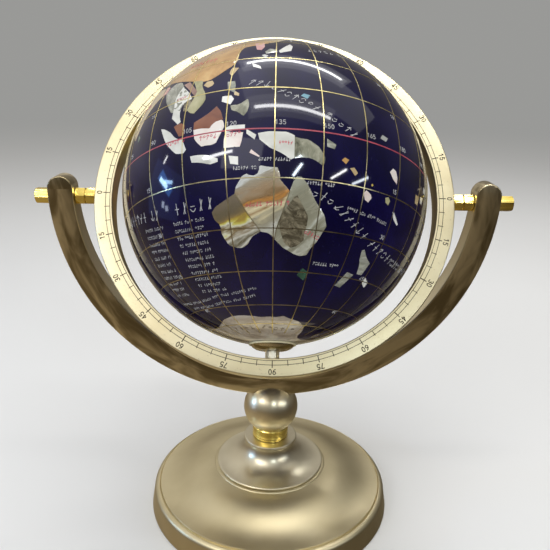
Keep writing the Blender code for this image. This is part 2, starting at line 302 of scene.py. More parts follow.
def set_piece(name, bm, finishes, body, replaced=(), place=Matrix()):
    """Makes a mesh a named piece of the globe that rides on a body."""
    bmesh.ops.remove_doubles(bm, verts=bm.verts, dist=0.001 * MM)
    bmesh.ops.recalc_face_normals(bm, faces=bm.faces)
    bmesh.ops.transform(bm, matrix=place, verts=bm.verts)
    mesh = bpy.data.meshes.new(name)
    bm.to_mesh(mesh)
    bm.free()
    mesh.shade_smooth()
    mesh.set_sharp_from_angle(angle=radians(32))
    for finish in finishes:
        mesh.materials.append(finish)
    piece = bpy.data.objects.new(name, mesh)
    bpy.context.collection.objects.link(piece)
    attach(piece, body)
    if replaced:
        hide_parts(*replaced)


def turned(outline, steps):
    """A solid turned about the stand's axis from (radius, height) points."""
    bm = bmesh.new()
    turn_outline(bm, [(r, 0, z) for r, z in outline], steps)
    return bm


def satin_plate(name, tone, dark, roughness, grain, metallic=1.0):
    """Satin plated metal: cloudy tone, fine blasted grain and faint turning lines."""
    finish, place, feed = begin_finish(name, metallic=metallic)
    cloud = place.noise(38, 3.0, 0.55)
    fine = place.noise(1500, 2.0)
    radius = (place.part(0) ** 2 + place.part(1) ** 2) ** 0.5
    lathe = place.node("ShaderNodeCombineXYZ", None, {0: radius, 1: place.part(2)}).noise(1300, 1.0)
    feed("Base Color", cloud.between(0.25, 0.75).choose(dark, tone))
    feed("Roughness", roughness - 0.04 + cloud * 0.06 + fine * 0.03)
    feed("Normal", (fine * grain + lathe * 0.5).bump(0.012 * MM))
    return finish


def base_outline():
    """Underside, flared wall, rounded rim, groove, ogee and seat, from the base's own box."""
    low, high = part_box("base")
    foot_radius = high.x
    seat_height = high.z
    rim_radius, rim_height, rim_round = foot_radius - 1.5 * MM, 10.1 * MM, 3 * MM
    groove_radius, groove_height = 63.9 * MM, 14.1 * MM
    seat_radius, seat_step, steepness = 32.2 * MM, 0.5 * MM, 0.7
    line = [(0, 0), (foot_radius - 0.8 * MM, 0), (foot_radius - 0.25 * MM, 0.2 * MM),
            (foot_radius, 0.8 * MM)]
    for k in range(10):
        a = radians(10 * k)
        line.append((rim_radius - rim_round * (1 - cos(a)), rim_height + rim_round * sin(a)))
    line += [(groove_radius + 0.7 * MM, groove_height - 0.15 * MM),
             (groove_radius + 0.35 * MM, groove_height - 0.6 * MM)]
    for k in range(41):
        t = k / 40
        rise = t - steepness * sin(2 * pi * t) / (2 * pi)
        line.append((groove_radius + (seat_radius - groove_radius) * t,
                     groove_height + (seat_height - seat_step - groove_height) * rise))
    return line + [(seat_radius - 0.3 * MM, seat_height - 0.1 * MM), (seat_radius - 0.5 * MM, seat_height),
                   (0, seat_height)]


BASE_PLATE = satin_plate("satin_champagne", (0.72, 0.63, 0.41), (0.64, 0.55, 0.34), 0.40, 0.3)
set_piece("base_turned", turned(base_outline(), 200), [BASE_PLATE], "stand", ["base"])


# ---------------------------------------------------------------------------------------------
# Pedestal. A bell turned from brass with a hollow curve up to its neck and a rounded lip. It is
# buffed smoother than the base, with its plate painted lighter than the base's as painted light, and
# screwed down from below.
# ---------------------------------------------------------------------------------------------
def pedestal_outline():
    """Flange, hollow curve, lip and flat top, from the pedestal's own box."""
    low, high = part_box("pedestal")
    bottom, top = low.z, high.z
    flange, neck, lip = 30.7 * MM, 13.2 * MM, 15.2 * MM
    flange_top = bottom + 1.3 * MM
    curve_top = top - 3 * MM
    curve_foot = flange - 0.8 * MM
    lip_round = 0.7 * MM
    line = [(0, bottom), (flange - 0.2 * MM, bottom), (flange, bottom + 0.2 * MM),
            (flange, flange_top - 0.4 * MM), (flange - 0.3 * MM, flange_top - 0.1 * MM)]
    for k in range(31):
        a = radians(3 * k)
        line.append((curve_foot - (curve_foot - neck) * sin(a),
                     curve_top - (curve_top - flange_top) * cos(a)))
    line += [(neck + 0.3 * MM, curve_top + 0.6 * MM), (lip - 0.25 * MM, top - 1.75 * MM),
             (lip, top - 1.4 * MM)]
    for k in range(6):
        a = radians(18 * k)
        line.append((lip - lip_round * (1 - cos(a)), top - lip_round * (1 - sin(a))))
    return line + [(0, top)]


# painted light: the base's champagne plate in a lighter tone, and a lower roughness for the buffing
BUFFED_PAINTED_LIGHT_PLATE = satin_plate("buffed_champagne_painted_light", (0.82, 0.75, 0.57), (0.74, 0.67, 0.49), 0.33, 0.2)
set_piece("pedestal_bell", turned(pedestal_outline(), 160), [BUFFED_PAINTED_LIGHT_PLATE], "stand",
          ["pedestal"])


# ---------------------------------------------------------------------------------------------
# Neck collar. A short band of polished yellow brass with one fine groove, dished on top to take
# the neck ball.
# ---------------------------------------------------------------------------------------------
def polished_metal(name, tone, dark, roughness):
    """Polished bare metal with soft clouding and fine hairline scratches."""
    finish, place, feed = begin_finish(name, metallic=1.0)
    cloud = place.noise(120, 3.0)
    hairs = place.stretched((900, 2500, 160), (0.3, 0.2, 0.5)).noise(1.0, 1.0)
    feed("Base Color", cloud.between(0.3, 0.7).choose(dark, tone))
    feed("Roughness", roughness + cloud * 0.05 + hairs.between(0.62, 0.75) * 0.08)
    feed("Normal", hairs.bump(0.002 * MM))
    return finish


def collar_outline():
    """Band with a groove, and a dish that follows the neck ball."""
    low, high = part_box("neck_collar")
    ball_low, ball_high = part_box("neck_ball")
    radius, bottom = 10.2 * MM, low.z
    centre, seat = (ball_low.z + ball_high.z) / 2, (ball_high.z - ball_low.z) / 2 + 0.1 * MM
    dish = []
    for k in range(13):
        r = (radius - 0.4 * MM) * (1 - k / 12)
        dish.append((r, centre - sqrt(seat * seat - r * r)))
    groove = bottom + 1.4 * MM
    rim = dish[0][1] - 0.3 * MM
    return [(0, bottom), (radius - 0.2 * MM, bottom), (radius, bottom + 0.2 * MM),
            (radius, groove - 0.3 * MM), (radius - 0.35 * MM, groove), (radius, groove + 0.3 * MM),
            (radius, rim - 0.2 * MM), (radius - 0.15 * MM, rim)] + dish


BRASS = polished_metal("yellow_brass", (0.90, 0.71, 0.21), (0.81, 0.61, 0.15), 0.16)
set_piece("neck_collar_band", turned(collar_outline(), 120), [BRASS], "stand",
          ["neck_collar"])


# ---------------------------------------------------------------------------------------------
# Cradle arm. A flat metal bar with gently crowned faces and round ends, bent to half a circle,
# brushed and plated champagne, painted darker on the whole than the rest of the stand as shade, with a
# painted highlight along its edges. A clearance hole at each end takes a pivot screw.
# ---------------------------------------------------------------------------------------------
ARM_OUTER, ARM_WIDTH, ARM_DEPTH = 114.5 * MM, 12.8 * MM, 12 * MM
ARM_CROWN, ARM_RISE = 0.45 * MM, 4.4 * MM       # its centre is above the pivots by ARM_RISE
ARM_MIDDLE = ARM_OUTER - ARM_WIDTH / 2
ARM_CENTRE = GLOBE_CENTRE + Vector((0, 0, ARM_RISE))


def arm_section(clearance):
    """Half of the bar's section, front to back, as (distance from its middle line, y)."""
    half_width = ARM_WIDTH / 2 + clearance
    half_depth = ARM_DEPTH / 2 + clearance
    corner = 0.6 * MM
    flat_end = 1 - corner / half_width
    face = [(half_width * t, half_depth - ARM_CROWN * t * t) for t in (flat_end * k / 6 for k in range(7))]
    shoulder = face[-1][1] - corner
    for k in range(1, 6):
        a = radians(18 * k)
        face.append((half_width - corner * (1 - sin(a)), shoulder + corner * cos(a)))
    return [(u, -y) for u, y in face] + [(u, y) for u, y in reversed(face)]


def arm_bar(clearance=0.0):
    """The bar: its section swept through half a circle, with round ends."""
    bm = bmesh.new()
    outer = arm_section(clearance)
    inner = [(-u, y) for u, y in reversed(outer)][1:-1]
    loop = [Vector((ARM_MIDDLE + u, y, 0)) + ARM_CENTRE for u, y in outer + inner]
    turn_outline(bm, loop, 120, ARM_CENTRE, (0, 1, 0), pi, closed=True)
    for side in (1, -1):
        half = [Vector((side * (ARM_MIDDLE + u), y, 0)) + ARM_CENTRE for u, y in outer]
        centre = ARM_CENTRE + Vector((side * ARM_MIDDLE, 0, 0))
        turn_outline(bm, half, 20, centre, (0, -side, 0), pi)
    return bm


def cut_away(bm, tool):
    """The first mesh less the second."""
    shapes = []
    for word, source in (("kept", bm), ("taken", tool)):
        bmesh.ops.remove_doubles(source, verts=source.verts, dist=0.001 * MM)
        bmesh.ops.recalc_face_normals(source, faces=source.faces)
        mesh = bpy.data.meshes.new(word)
        source.to_mesh(mesh)
        source.free()
        shape = bpy.data.objects.new(word, mesh)
        bpy.context.collection.objects.link(shape)
        shapes.append(shape)
    boolean = shapes[0].modifiers.new("cut", "BOOLEAN")
    boolean.solver = "EXACT"
    boolean.object = shapes[1]
    left = bmesh.new()
    left.from_object(shapes[0], bpy.context.evaluated_depsgraph_get())
    for shape in shapes:
        bpy.data.objects.remove(shape)
    return left


def round_rod(radius, reach, height):
    """A long cylinder along X at a height, for cutting the pivot holes."""
    bm = bmesh.new()
    bmesh.ops.create_cone(bm, cap_ends=True, segments=32, radius1=radius, radius2=radius, depth=2 * reach)
    place = Matrix.Translation((0, 0, height)) @ Matrix.Rotation(pi / 2, 4, "Y")
    bmesh.ops.transform(bm, matrix=place, verts=bm.verts)
    return bm


def bronzed_plate():
    """Plate brushed along the bar in long uneven streaks, darker as painted shade, with painted edge
    highlights.
    """
    finish, place, feed = begin_finish("arm_champagne_painted_light", metallic=1.0)
    x, height = place.part(0), place.part(2) - ARM_CENTRE.z
    radius = (x ** 2 + height ** 2) ** 0.5
    round_arc = height.maths("ARCTAN2", height, x)
    sockets = {0: round_arc * 3.5, 1: radius * 130, 2: place.part(1) * 60}
    streaks = place.node("ShaderNodeCombineXYZ", None, sockets).noise(1.0, 3.0, 0.55, 0.6)
    fine = place.noise(1500, 2.0)
    aside = radius - ARM_MIDDLE
    # painted highlight: a bright band along the bar's inner and outer rims
    edge = aside.maths("ABSOLUTE", aside).between(ARM_WIDTH / 2 - 0.55 * MM, ARM_WIDTH / 2 - 0.1 * MM)
    # painted shade: the streaked tone sits darker on the whole than the rest of the stand's plate
    tone = streaks.between(0.36, 0.64).choose((0.31, 0.25, 0.14), (0.84, 0.72, 0.47))
    feed("Base Color", edge.choose(tone, (0.98, 0.88, 0.62)))
    feed("Roughness", 0.24 + streaks * 0.12)
    feed("Normal", (fine * 0.3 + streaks * 2.0).bump(0.05 * MM))
    return finish


HOLE_RADIUS, DRILL_REACH = 1.6 * MM, 130 * MM
arm = cut_away(arm_bar(), round_rod(HOLE_RADIUS, DRILL_REACH, GLOBE_CENTRE.z))
set_piece("cradle_arm_bar", arm, [bronzed_plate()], "stand", ["cradle_arm"])


# ---------------------------------------------------------------------------------------------
# Neck ball. A solid plated ball, slotted right across so that the arm lies through it, and
# buffed smooth, with its plate painted the lightest on the stand as painted light.
# ---------------------------------------------------------------------------------------------
def neck_ball_mesh():
    """The ball with the arm's slot cut through it."""
    low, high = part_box("neck_ball")
    bm = bmesh.new()
    bmesh.ops.create_uvsphere(bm, u_segments=96, v_segments=64, radius=(high.z - low.z) / 2)
    bmesh.ops.translate(bm, verts=bm.verts, vec=(0, 0, (high.z + low.z) / 2))
    slot_clearance = 0.05 * MM
    return cut_away(bm, arm_bar(slot_clearance))


# painted light: the stand's champagne plate in its lightest tone, and a lower roughness for the buffing
NECK_PLATE = satin_plate("neck_champagne_painted_light", (0.94, 0.85, 0.61), (0.86, 0.76, 0.53), 0.31, 0.1)
set_piece("neck_ball_slotted", neck_ball_mesh(), [NECK_PLATE], "stand", ["neck_ball"])


# ---------------------------------------------------------------------------------------------
# Pivots. At each side a hexagonal screw of polished brass passes through the arm and a grooved
# hexagonal brass spacer into the ring's edge, so that the ring turns over in the arm.
# ---------------------------------------------------------------------------------------------
POLAR_AXIS = Vector(joints["ball_spin"]["axis"])
LEAN = acos(POLAR_AXIS.z)
RING_PLACE = Matrix.Translation(GLOBE_CENTRE) @ Matrix.Rotation(-LEAN, 4, "X")
RING_OUTER, RING_INNER, RING_HALF = 90.9 * MM, 81.9 * MM, 5.5 * MM
HEX_SAMPLES = 48
FRONT, TOP, RIGHT = Vector((0, -1, 0)), Vector((0, 0, 1)), Vector((1, 0, 0))


def hex_rod(axis, aside, tilt, stations, closed=False):
    """A rod through (distance, flats, largest radius) stations. Flats of 0 make it round there.

    A corner of the hexagon leans up by tilt from the front. A closed row of stations is a sleeve.
    """
    bm = bmesh.new()
    rows = []
    for distance, flats, limit in stations:
        row = []
        for k in range(HEX_SAMPLES):
            a = 2 * pi * k / HEX_SAMPLES
            from_flat = (a + pi / 6) % (pi / 3) - pi / 6
            reach = min(limit, flats / 2 / cos(abs(from_flat) - pi / 6)) if flats else limit
            direction = FRONT * cos(a + tilt) + aside * sin(a + tilt)
            row.append(bm.verts.new(axis * distance + direction * reach))
        rows.append(row)
    if not closed:
        bm.faces.new(rows[0])
        bm.faces.new(rows[-1])
    for low, high in neighbours(rows, closed):
        for k in range(HEX_SAMPLES):
            n = (k + 1) % HEX_SAMPLES
            bm.faces.new((low[k], low[n], high[n], high[k]))
    return bm


def set_pivot(word, side, head_tilt):
    """The screw and its spacer at one side."""
    axis = RIGHT * side
    gap = 0.1 * MM                  # between pieces that fit together
    shank, flats, length = 1.4 * MM, 7.2 * MM, 7.4 * MM
    corner = flats / sqrt(3)
    start = sqrt(ARM_OUTER ** 2 - ARM_RISE ** 2) + gap
    end = start + length
    head = [(start, flats, corner - 0.5 * MM), (start + 0.25 * MM, flats, corner),
            (end - 0.5 * MM, flats, corner), (end - 0.2 * MM, flats, corner - 0.4 * MM),
            (end, flats, corner - 0.95 * MM)]
    stations = [(RING_OUTER + 0.02 * MM, 0, shank), (start, 0, shank)] + head
    set_piece("pivot_screw_" + word + "_hex", hex_rod(axis, TOP, head_tilt, stations), [BRASS], "ring",
              ["pivot_screw_" + word], RING_PLACE)

    flats, sleeve_tilt = 8 * MM, radians(-20)
    corner = flats / sqrt(3)
    start = RING_OUTER + gap / 2
    end = sqrt((ARM_OUTER - ARM_WIDTH) ** 2 - (ARM_RISE + corner) ** 2) - gap
    middle = (start + end) / 2
    bore = shank + gap
    groove = flats / 2 - 0.35 * MM
    sleeve = [(start, 0, bore), (start, flats, corner - 0.5 * MM), (start + 0.4 * MM, flats, corner),
              (middle - 0.45 * MM, flats, corner), (middle - 0.3 * MM, 0, groove),
              (middle + 0.3 * MM, 0, groove), (middle + 0.45 * MM, flats, corner),
              (end - 0.4 * MM, flats, corner), (end, flats, corner - 0.5 * MM), (end, 0, bore)]
    spacer = hex_rod(axis, TOP, sleeve_tilt, sleeve, closed=True)
    set_piece("pivot_spacer_" + word + "_hex", spacer, [BRASS], "ring",
              ["pivot_spacer_" + word], RING_PLACE)


set_pivot("left", -1, radians(-35))
set_pivot("right", 1, radians(-12))


# ---------------------------------------------------------------------------------------------
# Meridian ring. A full circle turned from brass plate, bevelled at its edges and plated pale
# gold. A scale of latitude is engraved in its front face and filled with dark wax, and its back
# has only two turned lines.
# ---------------------------------------------------------------------------------------------
def bow(x, y, rx, ry, start, end, steps):
    """Points along part of an ellipse, from one angle to another in degrees."""
    angles = [radians(start + (end - start) * k / steps) for k in range(steps + 1)]
    return [(x + rx * cos(a), y + ry * sin(a)) for a in angles]


SIX = [(0.50, 0.96), (0.28, 0.84), (0.11, 0.58)] + bow(0.31, 0.30, 0.25, 0.27, 180, -180, 14)
DIGITS = {
    "0": bow(0.30, 0.50, 0.25, 0.47, 0, 360, 16),
    "1": [(0.10, 0.76), (0.34, 0.97), (0.34, 0.03)],
    "2": bow(0.30, 0.70, 0.25, 0.27, 165, -40, 9) + [(0.05, 0.03), (0.57, 0.03)],
    "3": bow(0.27, 0.74, 0.24, 0.23, 150, -90, 8) + bow(0.27, 0.27, 0.28, 0.24, 90, -150, 9)[1:],
    "4": [(0.57, 0.30), (0.03, 0.30), (0.42, 0.97), (0.42, 0.03)],
    "5": [(0.53, 0.97), (0.13, 0.97), (0.08, 0.56)] + bow(0.28, 0.33, 0.27, 0.30, 110, -150, 10),
    "6": SIX,
    "7": [(0.04, 0.97), (0.57, 0.97), (0.22, 0.03)],
    "8": bow(0.30, 0.75, 0.20, 0.22, -90, 270, 12) + bow(0.30, 0.28, 0.26, 0.25, 90, -270, 14)[1:],
    "9": [(0.6 - x, 1 - y) for x, y in SIX],
}
DIGIT_STEP = 0.78                   # from one digit to the next, as a share of their height


def engraved_stroke(points, width):
    """The flat shapes that a round cutter leaves: a bar for each step, and a disc at each point."""
    points = [Vector(p) for p in points]
    shapes = []
    for near, far in zip(points, points[1:]):
        along = (far - near).normalized()
        side = Vector((-along.y, along.x)) * (width / 2)
        shapes.append([near + side, near - side, far - side, far + side])
    for point in points:
        shapes.append([point + Vector(corner) for corner in bow(0, 0, width / 2, width / 2, 0, 315, 7)])
    return shapes


def digit_lines(text, height):
    """The strokes of a number, centred on its own middle."""
    width = height * (DIGIT_STEP * (len(text) - 1) + 0.6)
    lines = []
    for k, letter in enumerate(text):
        shift = k * DIGIT_STEP * height - width / 2
        lines.append([(x * height + shift, (y - 0.5) * height) for x, y in DIGITS[letter]])
    return lines


RING_FACE_INNER, RING_FACE_OUTER = RING_INNER + 0.4 * MM, RING_OUTER - 0.7 * MM
RING_STEPS = 360
RING_LINES = (83.0, 85.1)           # radii of the two turned circles, in mm


def ring_marks():
    """Every engraved mark on the ring's front, as flat shapes in its plane, in mm."""
    line_width, short_end, long_end = 0.28, 85.7, 86.4
    number_radius, number_height, number_width = 88.35, 2.5, 0.42
    marks = []

    def at(radius, degrees_round):
        a = radians(degrees_round)
        return Vector((radius * cos(a), radius * sin(a)))

    for radius in RING_LINES:
        low, high = radius - line_width / 2, radius + line_width / 2
        for k in range(RING_STEPS):
            marks.append([at(low, k), at(high, k), at(high, k + 1), at(low, k + 1)])
    start = RING_LINES[0]
    for angle in range(0, 360, 5):
        out, along = at(1, angle), at(1, angle + 90)
        half, end = (0.17, short_end) if angle % 15 else (0.22, long_end)
        corners = ((start, half), (start, -half), (end, -half), (end, half))
        marks.append([out * r + along * s for r, s in corners])
    for angle in range(0, 360, 15):
        latitude = min(angle % 180, 180 - angle % 180)
        up, across = at(1, angle), at(1, angle - 90)
        for line in digit_lines(str(latitude), number_height):
            for shape in engraved_stroke(line, number_width):
                marks.append([up * (number_radius + p.y) + across * p.x for p in shape])
    return marks


def counter_clockwise(corners):
    """The same corners, turning left."""
    pairs = zip(corners, corners[1:] + corners[:1])
    area = sum(a.x * b.y - b.x * a.y for a, b in pairs)
    return corners if area > 0 else corners[::-1]


def rim_edges(triangles):
    """The edges, as pairs of point numbers, that only one of the triangles has."""
    counts = {}
    for triangle in triangles:
        for a, b in zip(triangle, triangle[1:] + triangle[:1]):
            key = (min(a, b), max(a, b))
            counts[key] = counts.get(key, 0) + 1
    return [edge for edge, count in counts.items() if count == 1]


def engraved_face(bm, depth):
    """The ring's front face, flat, with its marks sunk by depth and their floors as finish 1."""
    inner, outer = RING_FACE_INNER / MM, RING_FACE_OUTER / MM
    shapes = []
    for k in range(RING_STEPS):
        a, b = radians(k), radians(k + 1)
        corners = ((inner, a), (outer, a), (outer, b), (inner, b))
        shapes.append([Vector((r * cos(t), r * sin(t))) for r, t in corners])
    shapes += ring_marks()
    points, faces = [], []
    for corners in shapes:
        faces.append(list(range(len(points), len(points) + len(corners))))
        points += counter_clockwise(corners)
    points, _, triangles, _, _, owners = delaunay_2d_cdt(points, [], faces, 1, 1e-4, True)
    levels = []
    for y in (-RING_HALF, depth - RING_HALF):
        levels.append([bm.verts.new((p.x * MM, y, p.y * MM)) for p in points])
    sunk = []
    for triangle, owned in zip(triangles, owners):
        if not owned:
            continue                # the open middle of the ring
        low = max(owned) >= RING_STEPS
        face = bm.faces.new([levels[low][k] for k in triangle])
        face.material_index = int(low)
        if low:
            sunk.append(triangle)
    for a, b in rim_edges(sunk):
        wall = bm.faces.new((levels[0][a], levels[0][b], levels[1][b], levels[1][a]))
        wall.material_index = 1


def ring_mesh():
    """The engraved face with the rest of the ring's section turned behind it."""
    mark_depth, line_half, line_depth = 0.22 * MM, 0.15 * MM, 0.2 * MM
    half, bevel, soft = RING_HALF, RING_OUTER - RING_FACE_OUTER, RING_FACE_INNER - RING_INNER
    bm = bmesh.new()
    engraved_face(bm, mark_depth)
    line = bow(RING_FACE_OUTER, bevel - half, bevel, bevel, -90, 0, 6)
    line += [(RING_OUTER, half - bevel), (RING_OUTER - bevel, half)]
    for radius in (RING_LINES[1] * MM, RING_LINES[0] * MM):
        line += [(radius + line_half, half), (radius, half - line_depth), (radius - line_half, half)]
    line += [(RING_INNER + soft, half), (RING_INNER, half - soft)]
    line += bow(RING_FACE_INNER, soft - half, soft, soft, 180, 270, 5)
    turn_outline(bm, [(r, y, 0) for r, y in line], RING_STEPS, axis=(0, 1, 0))
    loose = [v for v in bm.verts if not v.link_faces]
    bmesh.ops.delete(bm, geom=loose, context="VERTS")
    return bm


def pale_gold_plate():
    """Pale gold plate with a fine blasted grain, a little duller and browner in places."""
    finish, place, feed = begin_finish("pale_gold_plate", metallic=1.0)
    cloud = place.noise(45, 3.0, 0.6)
    specks = place.noise(900, 2.0)
    fine = place.noise(2200, 1.0)
    worn = cloud.between(0.3, 0.7).choose((0.77, 0.67, 0.42), (0.84, 0.75, 0.50))
    feed("Base Color", specks.between(0.62, 0.80).choose(worn, (0.62, 0.53, 0.33)))
    feed("Roughness", 0.33 + cloud * 0.08 + specks * 0.06)
    feed("Normal", (fine * 0.6 + specks * 0.8).bump(0.012 * MM))
    return finish


def black_filling():
    """Dark brown wax in the engraved marks, thinner in places."""
    finish, place, feed = begin_finish("black_filling")
    patches = place.noise(700, 2.0)
    tone = patches.between(0.35, 0.75).choose((0.030, 0.022, 0.012), (0.10, 0.075, 0.040))
    feed("Base Color", tone)
    feed("Roughness", 0.55 + patches * 0.2)
    feed("Normal", patches.bump(0.02 * MM))
    return finish


set_piece("meridian_ring_engraved", ring_mesh(), [pale_gold_plate(), black_filling()], "ring",
          ["meridian_ring"], RING_PLACE)


# ---------------------------------------------------------------------------------------------
# Polar pins and caps. A plated hexagonal pin stands in the ring at each pole. A shallow cap,
# turned from brass with a rolled rim, covers the ball's end where it turns on the pin. The ball
# sits a little above the ring's centre, so the south pin shows more of its length.
# ---------------------------------------------------------------------------------------------
BALL_RADIUS = 76.18 * MM
ball_low, ball_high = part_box("globe_ball")
BALL_CENTRE = (ball_low + ball_high) / 2
BALL_RISE = (BALL_CENTRE - GLOBE_CENTRE).dot(POLAR_AXIS)
BALL_PLACE = RING_PLACE @ Matrix.Translation((0, 0, BALL_RISE))
CAP_TOP, CAP_RADIUS, CAP_BEAD = BALL_RADIUS + 2.92 * MM, 11.6 * MM, 0.5 * MM
PIN_FLATS, PIN_GAP = 5.9 * MM, 0.05 * MM


def cap_outline():
    """Dome from its rolled edge up to the pin, hollow underneath to follow the ball."""
    bore, shoulder = 1.7 * MM, 3.55 * MM
    under = BALL_RADIUS + 0.08 * MM
    rim = sqrt(under ** 2 - CAP_RADIUS ** 2)
    line = []
    for k in range(9):
        r = bore + (CAP_RADIUS - CAP_BEAD - bore) * k / 8
        line.append((r, sqrt(under ** 2 - r * r)))
    line += bow(CAP_RADIUS - CAP_BEAD, rim + CAP_BEAD, CAP_BEAD, CAP_BEAD, -70, 110, 9)
    foot, edge = CAP_RADIUS - 2.2 * CAP_BEAD, rim + CAP_BEAD
    line += bow(shoulder, edge, foot - shoulder, CAP_TOP - edge, 0, 90, 16)
    return [(r, 0, z) for r, z in line + [(bore, CAP_TOP)]]


# painted highlight: the rolled rim is pale and half metallic so that it shows as a bright line
RIM_HIGHLIGHT_PLATE = satin_plate("cap_rim_painted_highlight", (0.96, 0.90, 0.62), (0.90, 0.82, 0.55), 0.45, 0.1,
                        metallic=0.35)
PIN_PLATE = satin_plate("pin_gold", (1.0, 0.95, 0.78), (0.92, 0.86, 0.68), 0.45, 0.1)
CAP_PLATE = satin_plate("cap_champagne", (0.66, 0.58, 0.40), (0.56, 0.48, 0.31), 0.20, 0.2)
for word, side in (("south", -1), ("north", 1)):
    flip = Matrix.Rotation(0 if side > 0 else pi, 4, "X")
    bm = bmesh.new()
    turn_outline(bm, cap_outline(), 96, closed=True)
    for face in bm.faces:
        # the rim's faces take the painted highlight
        if face.calc_center_median().xy.length > CAP_RADIUS - 2 * CAP_BEAD:
            face.material_index = 1
    bmesh.ops.transform(bm, matrix=flip, verts=bm.verts)
    set_piece("polar_cap_" + word + "_dome", bm, [CAP_PLATE, RIM_HIGHLIGHT_PLATE], "ball",
              ["polar_cap_" + word], BALL_PLACE)
    corner = PIN_FLATS / sqrt(3)
    start, end = CAP_TOP + side * BALL_RISE + PIN_GAP, RING_INNER - PIN_GAP
    stations = [(start, PIN_FLATS, corner - 0.4 * MM), (start + 0.3 * MM, PIN_FLATS, corner),
                (end - 0.3 * MM, PIN_FLATS, corner), (end, PIN_FLATS, corner - 0.4 * MM)]
    set_piece("polar_pin_" + word + "_hex", hex_rod(TOP * side, RIGHT, pi / 6, stations), [PIN_PLATE],
              "ring", ["polar_pin_" + word], RING_PLACE)


# ---------------------------------------------------------------------------------------------
# Ball. Cast from deep blue stone composite, ground round and polished like glass. It is the
# sea, and it turns on the two polar pins.
# ---------------------------------------------------------------------------------------------
def sea_finish():
    """Deep navy, faintly clouded, with a few small lighter grains, under clear gloss."""
    finish, place, feed = begin_finish("navy_sea", roughness=0.06, ior=1.45)
    cloud = place.noise(28, 4.0, 0.6, 0.4)
    grains = place.noise(700, 2.0)
    sea = cloud.tint((0.30, (0.0016, 0.0010, 0.015)), (0.50, (0.0030, 0.0020, 0.029)),
                     (0.70, (0.0056, 0.0040, 0.048)))
    feed("Base Color", grains.between(0.68, 0.80).choose(sea, (0.012, 0.012, 0.050)))
    return finish


bm = bmesh.new()
bmesh.ops.create_uvsphere(bm, u_segments=256, v_segments=128, radius=BALL_RADIUS)
set_piece("sea_ball", bm, [sea_finish()], "ball", ["globe_ball"], BALL_PLACE)


# ---------------------------------------------------------------------------------------------
# Lands. Each is a thin slice of polished stone or shell, sawn to its outline and let into the
# ball. Outlines are longitude and latitude, in whole or half degrees. Neighbours differ a little
# in height, so that none lies quite flush with the next.
# ---------------------------------------------------------------------------------------------
FRONT_MERIDIAN = 135.7              # this longitude faces the front of the ring


def on_ball(longitude, latitude):
    """The direction of a place from the ball's centre."""
    across, up = radians(longitude - FRONT_MERIDIAN), radians(latitude)
    return Vector((cos(up) * sin(across), -cos(up) * cos(across), sin(up)))


def coast(text):
    """A sawn outline through places written as 'longitude,latitude', with its sharp turns kept."""
    roundness, sharp_cosine, longest_step = 0.7, 0.72, 0.024
    places = [on_ball(*map(float, pair.split(","))) for pair in text.split()]
    count = len(places)
    slopes = []
    for k, here in enumerate(places):
        back, ahead = here - places[k - 1], places[(k + 1) % count] - here
        reach = roundness * min(back.length, ahead.length)
        sharp = back.normalized().dot(ahead.normalized()) < sharp_cosine
        slopes.append(Vector() if sharp else (back.normalized() + ahead.normalized()).normalized() * reach)
    line = []
    for k, here in enumerate(places):
        there = places[(k + 1) % count]
        steps = max(2, ceil((there - here).length / longest_step))
        for step in range(steps):
            t = step / steps
            line.append((here * (2 * t ** 3 - 3 * t ** 2 + 1) + slopes[k] * (t ** 3 - 2 * t ** 2 + t)
                         + there * (3 * t ** 2 - 2 * t ** 3)
                         + slopes[(k + 1) % count] * (t ** 3 - t ** 2)).normalized())
    return line


def inside(point, corners):
    """Whether a flat point lies within an outline."""
    hit = False
    for a, b in zip(corners, corners[1:] + corners[:1]):
        if (a.y > point.y) != (b.y > point.y):
            crossing = (b.x - a.x) * (point.y - a.y) / (b.y - a.y) + a.x
            hit = hit != (point.x < crossing)
    return hit


def slice_mesh(outline, proud):
    """A thin closed slice that follows the ball, with the outline given as directions."""
    top, bed = BALL_RADIUS + proud, BALL_RADIUS - 0.35 * MM
    centre = sum(outline, Vector()).normalized()
    east = centre.orthogonal().normalized()
    north = centre.cross(east)

    def flatten(direction):
        angle = centre.angle(direction)
        aside = (direction - centre * centre.dot(direction)).normalized()
        return Vector((aside.dot(east), aside.dot(north))) * angle

    def lift(point):
        angle = point.length
        if angle < 1e-9:
            return centre.copy()
        return centre * cos(angle) + (east * point.x + north * point.y) * (sin(angle) / angle)

    corners = counter_clockwise([flatten(d) for d in outline])
    step = 0.03                     # between the points inside it, in radians
    grid = []
    low = Vector((min(c.x for c in corners), min(c.y for c in corners)))
    high = Vector((max(c.x for c in corners), max(c.y for c in corners)))
    for row in range(int((high.y - low.y) / step) + 1):
        for column in range(int((high.x - low.x) / step) + 1):
            point = low + Vector((column + 0.5 * (row % 2), row)) * step
            clear = min((point - c).length for c in corners) > 0.45 * step
            if clear and inside(point, corners):
                grid.append(point)
    points, _, triangles, _, _, _ = delaunay_2d_cdt(
        corners + grid, [], [list(range(len(corners)))], 1, 1e-6, False)
    bm = bmesh.new()
    tops = [bm.verts.new(lift(p) * top) for p in points]
    beds = [bm.verts.new(lift(p) * bed) for p in points]
    for triangle in triangles:
        bm.faces.new([tops[k] for k in triangle])
        bm.faces.new([beds[k] for k in reversed(triangle)])
    for a, b in rim_edges(triangles):
        bm.faces.new((tops[a], tops[b], beds[b], beds[a]))
    return bm


